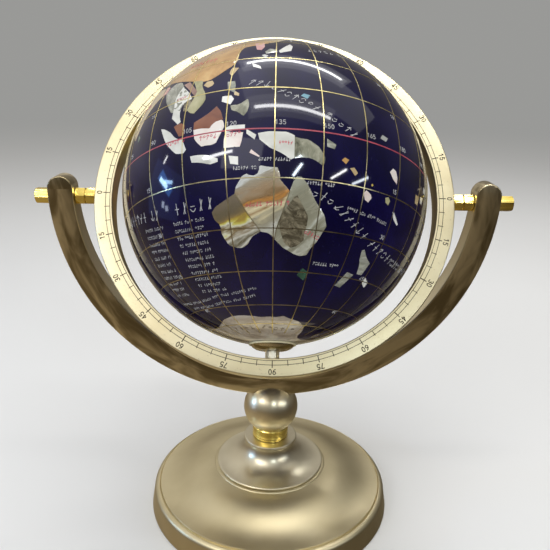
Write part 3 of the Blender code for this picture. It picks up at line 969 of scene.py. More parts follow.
def stone_finish(name, colours, size=60, warp=0.6, streak=(1, 1, 1), turn=(0, 0, 0), specks=None):
    """Polished stone: a band of colours over clouded, stretched noise, with small specks."""
    finish, place, feed = begin_finish(name, coat_weight=1.0, coat_roughness=0.04)
    body = place.stretched(streak, turn).noise(size, 4.0, 0.6, warp)
    stops = [(0.32 + 0.36 * k / (len(colours) - 1), colour) for k, colour in enumerate(colours)]
    tone = body.tint(*stops)
    if specks:
        tone = place.noise(size * 9, 2.0).between(0.56, 0.68).choose(tone, specks)
    feed("Base Color", tone)
    feed("Roughness", 0.1 + body * 0.15)
    return finish


def shell_finish(name, pale, dark, glints, streak, turn, size=70, share=0.5):
    """Mother of pearl or abalone: rippled bands, with patches of changing colour in them."""
    finish, place, feed = begin_finish(name, coat_weight=1.0, coat_roughness=0.04, metallic=0.15)
    ripples = place.stretched(streak, turn).noise(size, 5.0, 0.65, 1.4)
    sheen = place.stretched(streak, turn).noise(size * 0.8, 3.0, 0.5, 2.2)
    colours = [(0.25 + 0.5 * k / (len(glints) - 1), c) for k, c in enumerate(glints)]
    body = ripples.between(0.32, 0.66).choose(dark, pale)
    patches = sheen.tint(*colours)
    feed("Base Color", (ripples.between(0.40, 0.62) * share).choose(body, patches))
    feed("Roughness", 0.16 + ripples * 0.2)
    feed("Normal", ripples.bump(0.03 * MM))
    return finish


def banded_shell(name, middle, across, width, bands, glint_from):
    """Mother of pearl sawn across its growth, in bands with bright ripples.

    The bands cross a width about a middle place, and glint from there on.
    """
    finish, place, feed = begin_finish(name, coat_weight=1.0, coat_roughness=0.04, metallic=0.15)
    across = Vector(across).normalized()
    start = BALL_PLACE @ (on_ball(*middle) * BALL_RADIUS) - across * (width / 2)
    lean = (0, atan2(across.x, across.z), 0)
    ripples = place.stretched((0.2, 0.6, 1.0), lean).noise(240, 4.0, 0.6, 0.8)
    clouds = place.stretched((0.5, 1.0, 1.0), lean).noise(85, 3.0, 0.5, 0.9)
    cells = place.stretched((0.7, 1.0, 1.0), lean).noise(170, 3.0, 0.55, 2.0)
    growth = place.along(across, start, width)
    tone = (growth + (clouds - 0.5) * 0.5 + (ripples - 0.5) * 0.35).tint(*bands)
    reach = (growth + clouds - 0.5).between(glint_from, glint_from + 0.3)
    shine = (ripples * cells).between(0.27, 0.42) * reach
    feed("Base Color", (shine * 0.85).choose(tone, (0.80, 0.80, 0.72)))
    feed("Roughness", 0.16 + ripples * 0.2)
    feed("Normal", ripples.bump(0.03 * MM))
    return finish


STONES = {stone.name: stone for stone in (
    banded_shell("olive_pearl", (122.5, -29), (0.45, 0, -0.89), 24 * MM, (
        (0.02, (0.19, 0.15, 0.10)), (0.22, (0.15, 0.12, 0.07)), (0.38, (0.26, 0.18, 0.07)),
        (0.45, (0.42, 0.29, 0.05)), (0.49, (0.64, 0.58, 0.12)), (0.53, (0.74, 0.73, 0.55)),
        (0.58, (0.22, 0.15, 0.06)), (0.68, (0.66, 0.64, 0.54)), (0.76, (0.13, 0.11, 0.06)),
        (0.85, (0.70, 0.69, 0.60)), (0.92, (0.22, 0.19, 0.11)), (1.0, (0.60, 0.59, 0.50))), 0.50),
    banded_shell("amber_pearl", (132, -23), (0.48, 0, -0.88), 29 * MM, (
        (0.02, (0.56, 0.57, 0.54)), (0.11, (0.62, 0.64, 0.60)), (0.17, (0.34, 0.30, 0.22)),
        (0.31, (0.36, 0.25, 0.14)), (0.40, (0.25, 0.15, 0.06)), (0.46, (0.54, 0.24, 0.05)),
        (0.51, (0.34, 0.20, 0.08)), (0.57, (0.78, 0.68, 0.42)), (0.66, (0.34, 0.31, 0.22)),
        (0.80, (0.58, 0.58, 0.50)), (1.0, (0.42, 0.41, 0.30))), 0.52),
    banded_shell("silver_pearl", (147, -28), (0.55, 0, -0.83), 38 * MM, (
        (0.05, (0.34, 0.34, 0.26)), (0.30, (0.27, 0.26, 0.18)), (0.44, (0.36, 0.35, 0.26)),
        (0.53, (0.62, 0.63, 0.54)), (0.61, (0.26, 0.25, 0.17)), (0.72, (0.58, 0.58, 0.48)),
        (0.80, (0.22, 0.20, 0.12)), (0.90, (0.60, 0.60, 0.50)), (1.0, (0.34, 0.32, 0.21))), 0.55),
    shell_finish("pale_shell", (0.40, 0.41, 0.33), (0.20, 0.21, 0.17),
                 [(0.36, 0.38, 0.22), (0.56, 0.56, 0.50), (0.34, 0.31, 0.27)],
                 (1.0, 1.0, 2.5), (0.3, 0.5, 0)),
    shell_finish("dark_abalone", (0.19, 0.16, 0.10), (0.055, 0.045, 0.026),
                 [(0.07, 0.06, 0.035), (0.34, 0.30, 0.20), (0.10, 0.085, 0.05)],
                 (1.0, 1.0, 1.6), (0, 0.5, 0), 170, 0.7),
    shell_finish("green_abalone", (0.26, 0.30, 0.24), (0.09, 0.11, 0.09),
                 [(0.20, 0.30, 0.22), (0.36, 0.38, 0.28), (0.22, 0.24, 0.26)],
                 (1.0, 1.0, 2.0), (0.4, 0.5, 0)),
    stone_finish("orange_jasper", [(0.34, 0.17, 0.04), (0.52, 0.29, 0.085), (0.62, 0.39, 0.14)],
                 26, 2.2, (1.0, 1.0, 2.0), (0.2, 0.7, 0)),
    stone_finish("speckled_stone", [(0.08, 0.08, 0.05), (0.23, 0.23, 0.16), (0.42, 0.41, 0.31)], 160, 1.2),
    stone_finish("red_jasper", [(0.13, 0.035, 0.018), (0.21, 0.065, 0.030), (0.28, 0.10, 0.045)]),
    stone_finish("white_stone", [(0.62, 0.62, 0.56), (0.76, 0.76, 0.70), (0.84, 0.83, 0.78)], 50),
    stone_finish("blush_stone", [(0.72, 0.54, 0.50), (0.80, 0.72, 0.65), (0.84, 0.80, 0.76)]),
    stone_finish("rose_stone", [(0.45, 0.16, 0.18), (0.62, 0.30, 0.30), (0.74, 0.46, 0.44)]),
    stone_finish("brown_stone", [(0.22, 0.12, 0.09), (0.34, 0.19, 0.15), (0.42, 0.27, 0.22)], 70),
    stone_finish("olive_stone", [(0.22, 0.21, 0.09), (0.38, 0.36, 0.19), (0.50, 0.47, 0.28)], 90, 1.5),
    stone_finish("dark_jade", [(0.015, 0.05, 0.03), (0.03, 0.10, 0.06), (0.06, 0.16, 0.10)]),
    stone_finish("tan_stone", [(0.42, 0.30, 0.14), (0.56, 0.42, 0.22), (0.66, 0.54, 0.32)]),
    stone_finish("gold_stone", [(0.45, 0.32, 0.05), (0.62, 0.47, 0.10), (0.74, 0.60, 0.22)]),
    stone_finish("turquoise", [(0.04, 0.16, 0.24), (0.08, 0.25, 0.34), (0.14, 0.34, 0.42)],
                 specks=(0.05, 0.12, 0.10)),
    stone_finish("grey_stone", [(0.22, 0.23, 0.22), (0.34, 0.35, 0.33), (0.46, 0.46, 0.43)], 50),
    stone_finish("antarctic_stone", [(0.28, 0.22, 0.16), (0.40, 0.34, 0.27), (0.50, 0.46, 0.40)], 45, 1.2),
    stone_finish("ice_stone", [(0.40, 0.41, 0.38), (0.54, 0.54, 0.50), (0.66, 0.66, 0.61)], 35),
)}

LANDS = (
    ("australia_west", "olive_pearl",
     "122.5,-19.5 120.5,-20.5 117.5,-22 115.5,-23 114,-24.5 114.5,-26.5 116,-27.5 117,-29 116.5,-31.5 "
     "117.5,-33.5 118.5,-35 121.5,-36 123.5,-36 125.5,-35 126.5,-33 128,-32 130.5,-31 127,-26.5 "
     "124,-21.5"),
    ("australia_centre", "amber_pearl",
     "122.5,-19.5 123,-17.5 124,-16.5 125,-14.5 126,-14 128,-15 129.5,-15 131,-13.5 131,-11.5 "
     "132.5,-12.5 133.5,-12 135,-12.5 136,-12 136.5,-13.5 135.5,-16 137,-16.5 139,-18 140,-19 "
     "139,-21.5 138,-25 136.5,-28 136,-30.5 135.5,-33 134,-31.5 131,-30.5 130.5,-31 127,-26.5 "
     "124,-21.5"),
    ("australia_east", "silver_pearl",
     "142,-14.5 143.5,-14.5 145.5,-16.5 147,-19 148.5,-21.5 152,-25 153.5,-28.5 152.5,-30 152,-31.5 "
     "151,-33.5 149,-35.5 148,-38 145.5,-38.5 143,-38 141,-37 138.5,-36 137.5,-34.5 135.5,-33.5 "
     "135.5,-33 136,-30.5 136.5,-28 138,-25 139,-21.5 140,-19 141,-16"),
    ("australia_inland", "dark_abalone",
     "142.5,-20 144.5,-23 146.5,-26 146.5,-28.5 146,-31 146,-33.5 143.5,-35.5 141.5,-36 139,-34.5 "
     "137.5,-31 137,-28 138.5,-24.5 141,-22 141.5,-20.5"),
    ("tasmania", "dark_jade", "145.5,-45 147.5,-42.5 150.5,-44 149,-47"),
    ("china", "orange_jasper",
     "120.5,41 120,35 120.5,30 120,27.5 118,25.5 114.5,22.5 112,21 109.5,21 105,22.5 98.5,25 91,27.5 "
     "85,29 80,32 75,37 74,40 80,44.5 88,48.5 94,46 104,42.5 111,43.5 117,47.5 122,53 130,49 134.5,47 "
     "131,43 125,41"),
    ("myanmar", "pale_shell",
     "91.5,21.5 92.5,24 95,25.5 98.5,24.5 101.5,20.5 104.5,17 103.5,13.5 102.5,10.5 99.5,12.5 98.5,11 "
     "94,17"),
    ("thailand", "white_stone",
     "100.5,21.5 104.5,17.5 106.5,14.5 103.5,13.5 102,12.5 102.5,8.5 103.5,6 102.5,5.5 99.5,8.5 "
     "99.5,11 99,17"),
    ("laos", "brown_stone", "100.5,22.5 103,23 108,17 107.5,15 104,19"),
    ("vietnam", "olive_stone",
     "105,22.5 109,21.5 109,19 111.5,15 112,12.5 111,10.5 108.5,8 107,8.5 105.5,10 106.5,12 109,12 "
     "107.5,14.5 108.5,17"),
    ("cambodia", "dark_abalone", "103.5,13.5 107.5,14.5 109,12.5 106.5,11.5 105.5,9.5 104,10"),
    ("hainan", "tan_stone", "110,19 111,20.5 113,20.5 114,19 113.5,18 112,17.5"),
    ("malaya", "red_jasper", "101,5 102,5.5 104,5.5 105.5,4.5 105.5,1 103.5,1"),
    ("sumatra", "white_stone",
     "95,6 96.5,5.5 99.5,3.5 102,0 105,-0.5 106.5,-4 105.5,-5 102.5,-4.5 98.5,-0.5 97,2"),
    ("borneo_north", "red_jasper",
     "109,2 109,4.5 111.5,5.5 114.5,7 116.5,9 118,7 119,4 118,4 115.5,3.5 114.5,1.5 112,2"),
    ("borneo_south", "blush_stone",
     "109,2 112,2 114.5,1.5 115.5,3.5 118,4 119,3.5 119.5,1.5 118.5,-0.5 117,-3.5 115.5,-4 114,-3.5 "
     "112,-4 110.5,-2.5 109.5,-1"),
    ("sulawesi_north", "white_stone", "120,1 121.5,1.5 126,1.5 126,0 123,0 120,-0.5"),
    ("sulawesi_south", "blush_stone",
     "120,-0.5 125.5,-1 125,-4 124.5,-5.5 123,-3.5 122,-3 121,-5.5 119.5,-5.5 119.5,-3"),
    ("halmahera", "white_stone", "126.5,0 128,-1.5 129.5,-2 129,-3.5 126.5,-1.5"),
    ("papua_west", "white_stone",
     "130,-1.5 133,-1 135.5,-1 136.5,-1.5 138.5,-1 141,-2 141,-9 140,-9.5 137.5,-7.5 136,-7 133.5,-6 "
     "132,-4.5 132.5,-4 130.5,-3.5"),
    ("papua_east", "speckled_stone",
     "141,-2.5 142.5,-3 145,-3 148.5,-5 150.5,-8 150.5,-9.5 150,-10.5 146.5,-8.5 144,-8.5 141,-9"),
    ("java", "white_stone",
     "108,-6.5 110.5,-6.5 114,-7 117.5,-8.5 117.5,-9.5 115,-10 112,-9 108.5,-8.5"),
    ("timor", "white_stone", "121,-8 124,-8.5 124,-11 121.5,-10.5"),
    ("aru", "blush_stone", "128,-6.5 130.5,-8.5 130.5,-9 127.5,-7.5"),
    ("luzon", "pale_shell", "119,18.5 121.5,18.5 122,16.5 122,13.5 119.5,15"),
    ("luzon_south", "tan_stone", "121.5,14.5 123.5,13 123.5,12 122,12.5"),
    ("visayas", "white_stone", "118,12.5 121,12.5 122,11 121,9 118,10.5"),
    ("mindanao", "speckled_stone",
     "121,8.5 124,8 126.5,10.5 127,8.5 126.5,6 125.5,4.5 123.5,6.5 121.5,7"),
    ("taiwan", "tan_stone", "119,22.5 119,24 119.5,25.5 122,25 121,23 120,21"),
    ("ryukyu", "white_stone", "126.5,27 129.5,25 130,23.5 127,25"),
    ("korea", "rose_stone", "125,43.5 129,44.5 130,39 129,36 127,36.5"),
    ("japan_west", "pale_shell", "130.5,34.5 132.5,37 135,36 135.5,34 132.5,33.5 131,33"),
    ("japan_east", "white_stone", "136,35 137.5,37.5 141,42 142,40 141,35.5 136.5,33.5"),
    ("kyushu", "grey_stone", "129.5,32 130.5,32.5 132,31.5 131,29.5"),
    ("new_zealand_north", "pale_shell",
     "171,-34 172,-33.5 174.5,-36 178,-37.5 177,-41 177,-42 174,-42 173,-38 171.5,-36.5"),
    ("new_zealand_south", "pale_shell", "168.5,-42 172.5,-42.5 169,-48 165.5,-47.5"),
    ("chatham", "white_stone", "179.5,-43.5 180.5,-42.5 184,-44 184,-46 181,-45"),
    ("bismarck", "pale_shell", "151,-2 154,-3.5 153.5,-5 151,-4.5"),
    ("solomon_west", "orange_jasper", "156,-8 157,-7 158.5,-7.5 157.5,-9"),
    ("solomon_east", "tan_stone", "159,-10 160.5,-9.5 162,-11 161,-12"),
    ("new_caledonia", "blush_stone", "165,-16.5 166,-15.5 168,-16.5 168.5,-17.5 167.5,-19 166,-18.5"),
    ("gilbert", "grey_stone", "170.5,2.5 171.5,4 174,3.5 173,2"),
    ("tuvalu", "blush_stone", "175,-7.5 176.5,-6 178,-6.5 179,-8.5 179,-10.5 177,-9.5"),
    ("vanuatu", "gold_stone", "167.5,-13.5 168,-13 168.5,-13.5 168,-14"),
    ("fiji", "olive_stone", "174.5,-16 176,-15.5 177,-16.5 176.5,-18 175,-17.5"),
    ("tonga", "white_stone", "179.5,-19.5 180.5,-19.5 184.5,-22.5 184,-23 181,-21.5"),
    ("samoa", "tan_stone", "192,-10 195,-10 195,-13 192.5,-13"),
    ("line_islands", "tan_stone", "207,-3.5 211,-3 212.5,-6.5 209.5,-8.5 207,-6.5"),
    ("phoenix", "white_stone", "199.5,-5 202,-5 201.5,-7 199.5,-7"),
    ("cook", "white_stone", "196.5,-9.5 199.5,-9 199,-11.5 197,-11.5"),
    ("guam", "turquoise", "144,13 146,12.5 145,11 143,12"),
    ("india", "tan_stone",
     "68,24 70,21 73,21 73,16 75,11.5 77.5,8 80,13 82,16.5 87,21.5 89,22 88,26.5 83,28 78,31 75,34 "
     "73,31 70,27.5"),
    ("ceylon", "dark_jade", "80,9.5 82,7.5 80.5,6"),
    ("bengal", "rose_stone", "89,22 91.5,22 92,25 89,26.5"),
    ("pakistan", "olive_stone",
     "61.5,25 67,24.5 68,24 70,27.5 73,31 75,34 74,36.5 71,36 69,32 66,30 61,29.5"),
    ("afghanistan", "grey_stone", "61,30 66,30 69,32 71,36 74,37.5 68,37 64.5,36 61,35"),
    ("iran", "turquoise",
     "45,39.5 48,38.5 50,37 54,37 57,38 61,36.5 61,30 61.5,25.5 57,27 54,26.5 50.5,29.5 48.5,30.5 "
     "46,33.5 45,36"),
    ("arabia", "gold_stone",
     "35,28 38,31.5 42,31 46.5,29 48.5,28.5 50.5,26 52,24 56,25.5 59.5,22.5 57,19 52,16 45,13 43,14 "
     "41.5,17.5 39,21 37,25"),
    ("mesopotamia", "brown_stone", "36,36.5 42,37 45,36 46,33.5 48.5,30.5 46.5,29 42,31 38,31.5 36,33"),
    ("turkey", "red_jasper",
     "26.5,40 31,41.5 37,41.5 42,41.5 44.5,39.5 44.5,37.5 40,37 36,36 31,36.5 27.5,37"),
    ("kazakhstan", "pale_shell",
     "47,48 51,51.5 61,51 62,54 70,55 77,54 80,51 87,49 82,45.5 80,42.5 73,42.5 68,42 66,43.5 58,45.5 "
     "53,42 50.5,45"),
    ("turkestan", "green_abalone",
     "53,42 58,45.5 66,43.5 68,42 73,42.5 74,40 71,37 67,37.5 61,36.5 57,38 54,37.5"),
    ("mongolia", "rose_stone", "88,49 94,46 104,42.5 111,43.5 117,47.5 113,50 106,50.5 99,52 92,50.5"),
    ("russia_west", "ice_stone",
     "30,60 28,56.5 31,52 36,50 40,47.5 38,45 44,42.5 48,42.5 47,48 51,51.5 61,51 62,54 66,57 66,66 "
     "68,69 60,69 54,68.5 46,67 41,66 34,66.5 41,68 33,69.5 29,69 31,63"),
    ("siberia", "brown_stone",
     "66,66 66,57 62,54 70,55 77,54 80,51 87,49 92,50.5 99,52 106,50.5 106,60 104,73.5 98,76 87,75 "
     "80,72.5 74,72.5 72,67.5"),
    ("russia_east", "tan_stone",
     "106,50.5 113,50 117,48.5 122,53.5 130,49.5 134.5,47.5 132,43.5 135,44.5 140,50 141,53.5 "
     "136,54.5 142,59.5 155,59.5 163,61.5 163,58.5 156.5,51 162,56 170,60 178,62.5 180,65 190,66 "
     "180,69 170,70 160,70 140,72.5 128,71.5 113,74 104,73.5 106,60"),
    ("sakhalin", "white_stone", "142,46.5 143.5,49.5 143,54 142,51"),
    ("scandinavia", "turquoise",
     "5,58.5 5,62 12,66 18,69.5 28,71 30,69.5 24,66 17.5,62 19,60 16.5,56.5 13,55.5 11,59 7.5,58"),
    ("finland", "white_stone", "22,60 28,60.5 31,63 29,69 24,66 25,65 21.5,62"),
    ("france", "olive_stone", "-4.5,48.5 2,51 8,48.5 7,44 3,43 -1.5,43.5 -1,46"),
    ("iberia", "red_jasper", "-9,43.5 -1.5,43.5 3,42.5 0,39 -2,36.5 -6,36.5 -9,37"),
    ("germany", "tan_stone", "6,51 8,54.5 14,54 19,54.5 23,54 24,50 17,47 10,47.5 8,48.5"),
    ("italy", "rose_stone", "7,44 8,46 13.5,46 12.5,44 18.5,40 16,38 12.5,41.5 10,44"),
    ("balkans", "brown_stone", "13.5,46 17,47 22,48 29,45 28,41.5 24,40.5 23,36.5 20,39"),
    ("ukraine", "gold_stone", "24,50 31,52 36,50 40,47.5 35,45.5 30,45.5 22,48"),
    ("baltic", "grey_stone", "21,55 28,59.5 30,56 31,52 24,51"),
    ("britain", "blush_stone", "-5.5,50 1.5,51 0,53.5 -2,56 -3,58.5 -6,58 -4.5,55 -3,53.5 -5,52"),
    ("ireland", "dark_jade", "-10,52 -6,52 -6,55 -9,54.5"),
    ("iceland", "white_stone", "-24,65 -22,66.5 -14,66 -15,64.5 -20,63.5"),
    ("barbary", "pale_shell",
     "-9.5,30 -6,34.5 -2,35.5 8,37 9,33 10,30 9.5,26 12,23.5 3,19.5 -5,25 -9,27.5"),
    ("senegal_coast", "gold_stone",
     "-17,21 -13,27.5 -9,27.5 -5,25 3,19.5 4,16 -1,14.5 -5,11 -11,12.5 -16.5,16"),
    ("libya", "olive_stone", "9,33 11.5,33 15,32 20,31 25,31.5 25,20 16,23 12,23.5 9.5,26 10,30"),
    ("egypt", "turquoise", "25,31.5 31,31.5 34.5,29.5 33.5,27 36,22 25,22"),
    ("sudan", "pale_shell", "25,20 25,22 36,22 38.5,17.5 36,13 33,9 29,9.5 22,9.5 22,13 24,16"),
    ("chad", "red_jasper", "12,23.5 16,23 25,20 24,16 22,13 22,9.5 15,8 14,13 4,13 4,16 3,19.5"),
    ("guinea_coast", "dark_jade",
     "-16.5,16 -11,12.5 -5,11 -1,14.5 4,13 3,12 3,6.5 -2,5 -7.5,4.5 -13,8.5"),
    ("niger_delta", "white_stone", "3,6.5 3,12 4,13 14,13 12,7.5 9,4.5 6,4.5"),
    ("congo", "green_abalone",
     "12,7.5 15,8 22,9.5 28,5 31,2 29,-4 30,-8.5 28,-12 22,-11 17,-8 12.5,-6 9,-0.5 9.5,4"),
    ("horn_of_africa", "brown_stone", "36,13 42.5,12.5 51,11.5 47,4 41.5,-1.5 40,4 34,5 33,9"),
    ("great_lakes", "orange_jasper",
     "34,5 40,4 41.5,-1.5 39,-6 40.5,-10.5 35,-11.5 30,-8.5 29,-4 31,2"),
    ("angola", "rose_stone", "12.5,-6 17,-8 22,-11 24,-13 22,-17.5 12,-17 13.5,-12"),
    ("zambezi", "pale_shell",
     "24,-13 28,-12 30,-8.5 35,-11.5 40.5,-10.5 40.5,-15.5 35,-20 35,-24.5 32.5,-26 31,-22 27,-18 "
     "22,-17.5"),
    ("kalahari", "tan_stone", "12,-17 22,-17.5 27,-18 29,-22 25,-25.5 20,-27 17,-28.5 14.5,-22.5"),
    ("cape", "pale_shell", "17,-28.5 20,-27 25,-25.5 29,-22 31,-22 32.5,-27 28,-33 20,-34.5 18,-33"),
    ("madagascar", "olive_stone", "49,-12 50.5,-16 47.5,-25 44,-24.5 44.5,-17"),
    ("alaska", "grey_stone",
     "-168,66 -156,71 -141,69.5 -141,60 -135,58 -131,55.5 -140,59.5 -150,60 -160,55.5 -158,59 "
     "-164,60.5 -165,64"),
    ("canada_west", "orange_jasper",
     "-141,69.5 -128,70.5 -115,68.5 -102,67.5 -102,49 -123,49 -128,52 -131,55.5 -135,58 -141,60"),
    ("canada_middle", "pale_shell",
     "-102,67.5 -95,69 -87,67 -94,60 -92,57 -82,55 -80,51.5 -84,46.5 -89,48.5 -95,49 -102,49"),
    ("canada_east", "green_abalone",
     "-80,51.5 -78,58 -78,62 -70,61 -65,59 -60,54.5 -56,51.5 -65,49.5 -60,46 -66,44.5 -71,45 -76,44 "
     "-84,46.5"),
    ("baffin", "white_stone", "-88,73 -78,73.5 -68,69 -62,66 -66,62.5 -74,65.5 -73,68.5"),
    ("victoria_island", "ice_stone", "-117,70 -105,73 -101,69 -110,68.5"),
    ("ellesmere", "ice_stone", "-90,77 -85,80.5 -65,80.5 -76,77.5"),
    ("greenland", "ice_stone",
     "-70,77 -60,80.5 -35,80.5 -20,79 -20,74 -25,70 -38,65.5 -44,60 -52,64 -54,70 -60,75.5"),
    ("america_west", "red_jasper",
     "-124.5,48.5 -111,49 -111,37 -111,31.5 -114.5,32.5 -117,32.5 -121,35 -124,40"),
    ("america_plains", "gold_stone",
     "-111,49 -96,49 -94,40 -94,30 -97,26 -103,29.5 -106.5,31.5 -111,31.5 -111,37"),
    ("america_east", "turquoise",
     "-96,49 -89,48.5 -84,46.5 -82.5,42 -76,44 -71,45 -67,45 -70,42 -75,39 -76,35 -81,31.5 -80,25.5 "
     "-83,29.5 -90,29.5 -94,30 -94,40"),
    ("mexico", "olive_stone",
     "-114.5,32.5 -106.5,31.5 -103,29.5 -97,26 -97.5,21 -94.5,18 -91,18.5 -90,21 -87,21 -89,17 "
     "-92.5,15 -97,16 -105,20 -107,25 -112,30"),
    ("baja", "tan_stone", "-117,32.5 -115,32 -110,23.5 -115,28"),
    ("central_america", "dark_jade",
     "-92.5,15 -89,17 -83.5,15 -83,11 -77.5,8.5 -80,7.5 -85.5,10 -88,13"),
    ("cuba", "rose_stone", "-85,22 -80,23 -74.5,20 -78,20.5"),
    ("hispaniola", "white_stone", "-74,19.5 -69,19.5 -69,18 -74,18"),
    ("hawaii", "white_stone", "204,20 205,19.5 204.5,18.5"),
    ("orinoco", "gold_stone", "-77.5,8.5 -72,12 -62,10.5 -60,8 -61,4 -67,1 -70,-4 -78,0 -77,4"),
    ("guiana", "rose_stone", "-60,8 -52,5 -51.5,2.5 -59,1.5 -61,4"),
    ("amazon", "green_abalone",
     "-67,1 -61,4 -59,1.5 -51.5,2.5 -44,-2 -35,-6 -39,-13 -46,-15 -60,-13 -70,-10 -73,-7 -70,-4"),
    ("brazil_south", "orange_jasper",
     "-60,-13 -46,-15 -39,-13 -40,-21 -48,-26 -53,-33.5 -57,-30 -54.5,-25 -58,-20"),
    ("peru", "brown_stone", "-78,0 -70,-4 -73,-7 -70,-10 -69,-15 -70,-18 -76,-14 -81,-5 -80.5,-2"),
    ("bolivia", "white_stone",
     "-70,-10 -60,-13 -58,-20 -54.5,-25 -58,-27 -63,-22 -68,-22 -70,-18 -69,-15"),
    ("argentina", "pale_shell",
     "-68,-22 -63,-22 -58,-27 -54.5,-25 -57,-30 -58,-34 -57,-37.5 -62,-39 -65,-43 -66,-47 -69,-51.5 "
     "-72,-50 -71,-40 -70,-33 -68,-26"),
    ("chile", "red_jasper",
     "-70,-18 -68,-22 -68,-26 -70,-33 -71,-40 -72,-50 -69,-51.5 -66,-55 -74,-52 -74.5,-45 -73.5,-38 "
     "-71.5,-30"),
    ("uruguay", "dark_jade", "-58,-34 -57,-30 -53,-33.5 -55,-35"),
    ("antarctica", "antarctic_stone",
     "80.5,-67 94,-64 105,-62.5 114,-62.5 120,-63 126.5,-64 132,-63.5 137,-64 143,-63 149,-64.5 "
     "156.5,-65.5 165,-68.5 169,-72 172,-76 186,-78 205,-77 220,-74.5 235,-73.5 250,-72 262,-72.5 "
     "275,-72 288,-71 294,-66.5 300,-63.5 303,-65 299,-69 300,-73 305,-76.5 320,-78 330,-75.5 "
     "343,-71.5 352,-70 5,-69.5 18,-69 34,-67.5 45,-66.5 55,-65.5 68,-67.5"),
)

LOWEST_PROUD, PROUD_STEP, PROUD_STEPS = 0.020, 0.004, 5        # in mm
INLAND_PROUD = 0.018                # the inland slice lies over its neighbours


def set_in_ball(name, bm, finish):
    """Makes a mesh an inlay or a print on the ball."""
    set_piece(name, bm, [finish], "ball", place=BALL_PLACE)


for number, (name, stone, outline) in enumerate(LANDS):
    extra = INLAND_PROUD * (name == "australia_inland")
    proud = (LOWEST_PROUD + PROUD_STEP * (number % PROUD_STEPS) + extra) * MM
    set_in_ball("stone_" + name, slice_mesh(coast(outline), proud), STONES[stone])


# ---------------------------------------------------------------------------------------------
# Gilt wires. Brass wire is laid in sawn grooves over sea and land and polished almost flush. It
# follows every 15 degrees, but for three southern circles at listed latitudes. The equator is a
# groove filled with red enamel.
# ---------------------------------------------------------------------------------------------
WIRE_TOP, WIRE_BED = BALL_RADIUS + 0.060 * MM, BALL_RADIUS - 0.25 * MM
WIRE_WIDTH, SEAM_WIDTH, EQUATOR_WIDTH = 0.4 * MM, 0.28 * MM, 0.55 * MM
CROSSING_DROP = 0.004 * MM          # where two wires cross, one lies this much lower
PARALLELS = (-67.5, -57.5, -44, -30, -15, 15, 30, 45, 60, 75)


def lay_strip(bm, lefts, rights, top=WIRE_TOP, bed=WIRE_BED, closed=False):
    """A closed strip on the ball between two edges, given as directions."""
    rows = []
    for left, right in zip(lefts, rights):
        rows.append([bm.verts.new(d) for d in (left * top, right * top, right * bed, left * bed)])
    if not closed:
        bm.faces.new(rows[0])
        bm.faces.new(rows[-1])
    for near, far in neighbours(rows, closed):
        for k in range(4):
            n = (k + 1) % 4
            bm.faces.new((near[k], far[k], far[n], near[n]))


def lay_wire(bm, line, aside):
    """A wire along a line of directions, whose edges are aside of it by a small vector."""
    lay_strip(bm, [(p - aside).normalized() for p in line], [(p + aside).normalized() for p in line])


def meridian_wires():
    """The lines of longitude, from the Antarctic coast to the north cap."""
    south_end, north_end, steps = -74, 81.5, 110
    bm = bmesh.new()
    half = WIRE_WIDTH / 2 / BALL_RADIUS
    for longitude in range(0, 360, 15):
        aside = on_ball(longitude + 90, 0) * half
        latitudes = [south_end + (north_end - south_end) * k / steps for k in range(steps + 1)]
        lay_wire(bm, [on_ball(longitude, latitude) for latitude in latitudes], aside)
    return bm


def seam_wires():
    """The two seams between Australia's slices."""
    seams = (((122.5, -19.5), (127, -26.5), (130.5, -31)),
             ((140, -19), (138, -25), (136, -30.5), (135.5, -33)))
    bm = bmesh.new()
    for seam in seams:
        line = [on_ball(*place) for place in seam]
        line = [a.lerp(b, k / 6).normalized() for a, b in zip(line, line[1:]) for k in range(6)] + [line[-1]]
        half = SEAM_WIDTH / 2 / BALL_RADIUS
        lay_wire(bm, line, (line[-1] - line[0]).cross(line[0]).normalized() * half)
    return bm


def parallel_strip(bm, latitude, width, top):
    """A full circle at one latitude."""
    half = 90 / pi * width / BALL_RADIUS
    edges = [[on_ball(1.5 * k, latitude + side * half) for k in range(240)] for side in (1, -1)]
    lay_strip(bm, *edges, top=top, closed=True)


def gilt_finish():
    """Bright yellow wire, dulled here and there, and greyer over the southern sea as painted shade, which
    stops short of the ice.
    """
    finish, place, feed = begin_finish("gilt_wire", metallic=1.0)
    patches = place.noise(260, 3.0)
    bright = patches.between(0.3, 0.7).choose((0.66, 0.54, 0.22), (0.92, 0.80, 0.38))
    shaded_tone = patches.between(0.3, 0.7).choose((0.30, 0.26, 0.18), (0.56, 0.48, 0.30))
    shade_start, shade_reach = BALL_CENTRE + POLAR_AXIS * 5 * MM, 45 * MM
    ice_start, ice_reach = BALL_CENTRE - POLAR_AXIS * 66 * MM, 3 * MM
    # painted shade: the wires darken towards the south, and keep their bright tone over the ice
    southern = place.along(-POLAR_AXIS, shade_start, shade_reach).between(0.0, 1.0)
    polar = place.along(-POLAR_AXIS, ice_start, ice_reach).between(0.0, 1.0)
    feed("Base Color", (southern * (1.0 - polar)).choose(bright, shaded_tone))
    feed("Roughness", 0.22 + patches * 0.15)
    return finish


def enamel(name, dark, pale, size=500, coat=0.6, roughness=0.4, spread=0.15):
    """Glossy enamel, uneven in depth of colour."""
    finish, place, feed = begin_finish(name, coat_weight=coat, coat_roughness=0.05)
    patches = place.noise(size, 3.0)
    feed("Base Color", patches.between(0.3, 0.7).choose(dark, pale))
    feed("Roughness", roughness + patches * spread)
    return finish


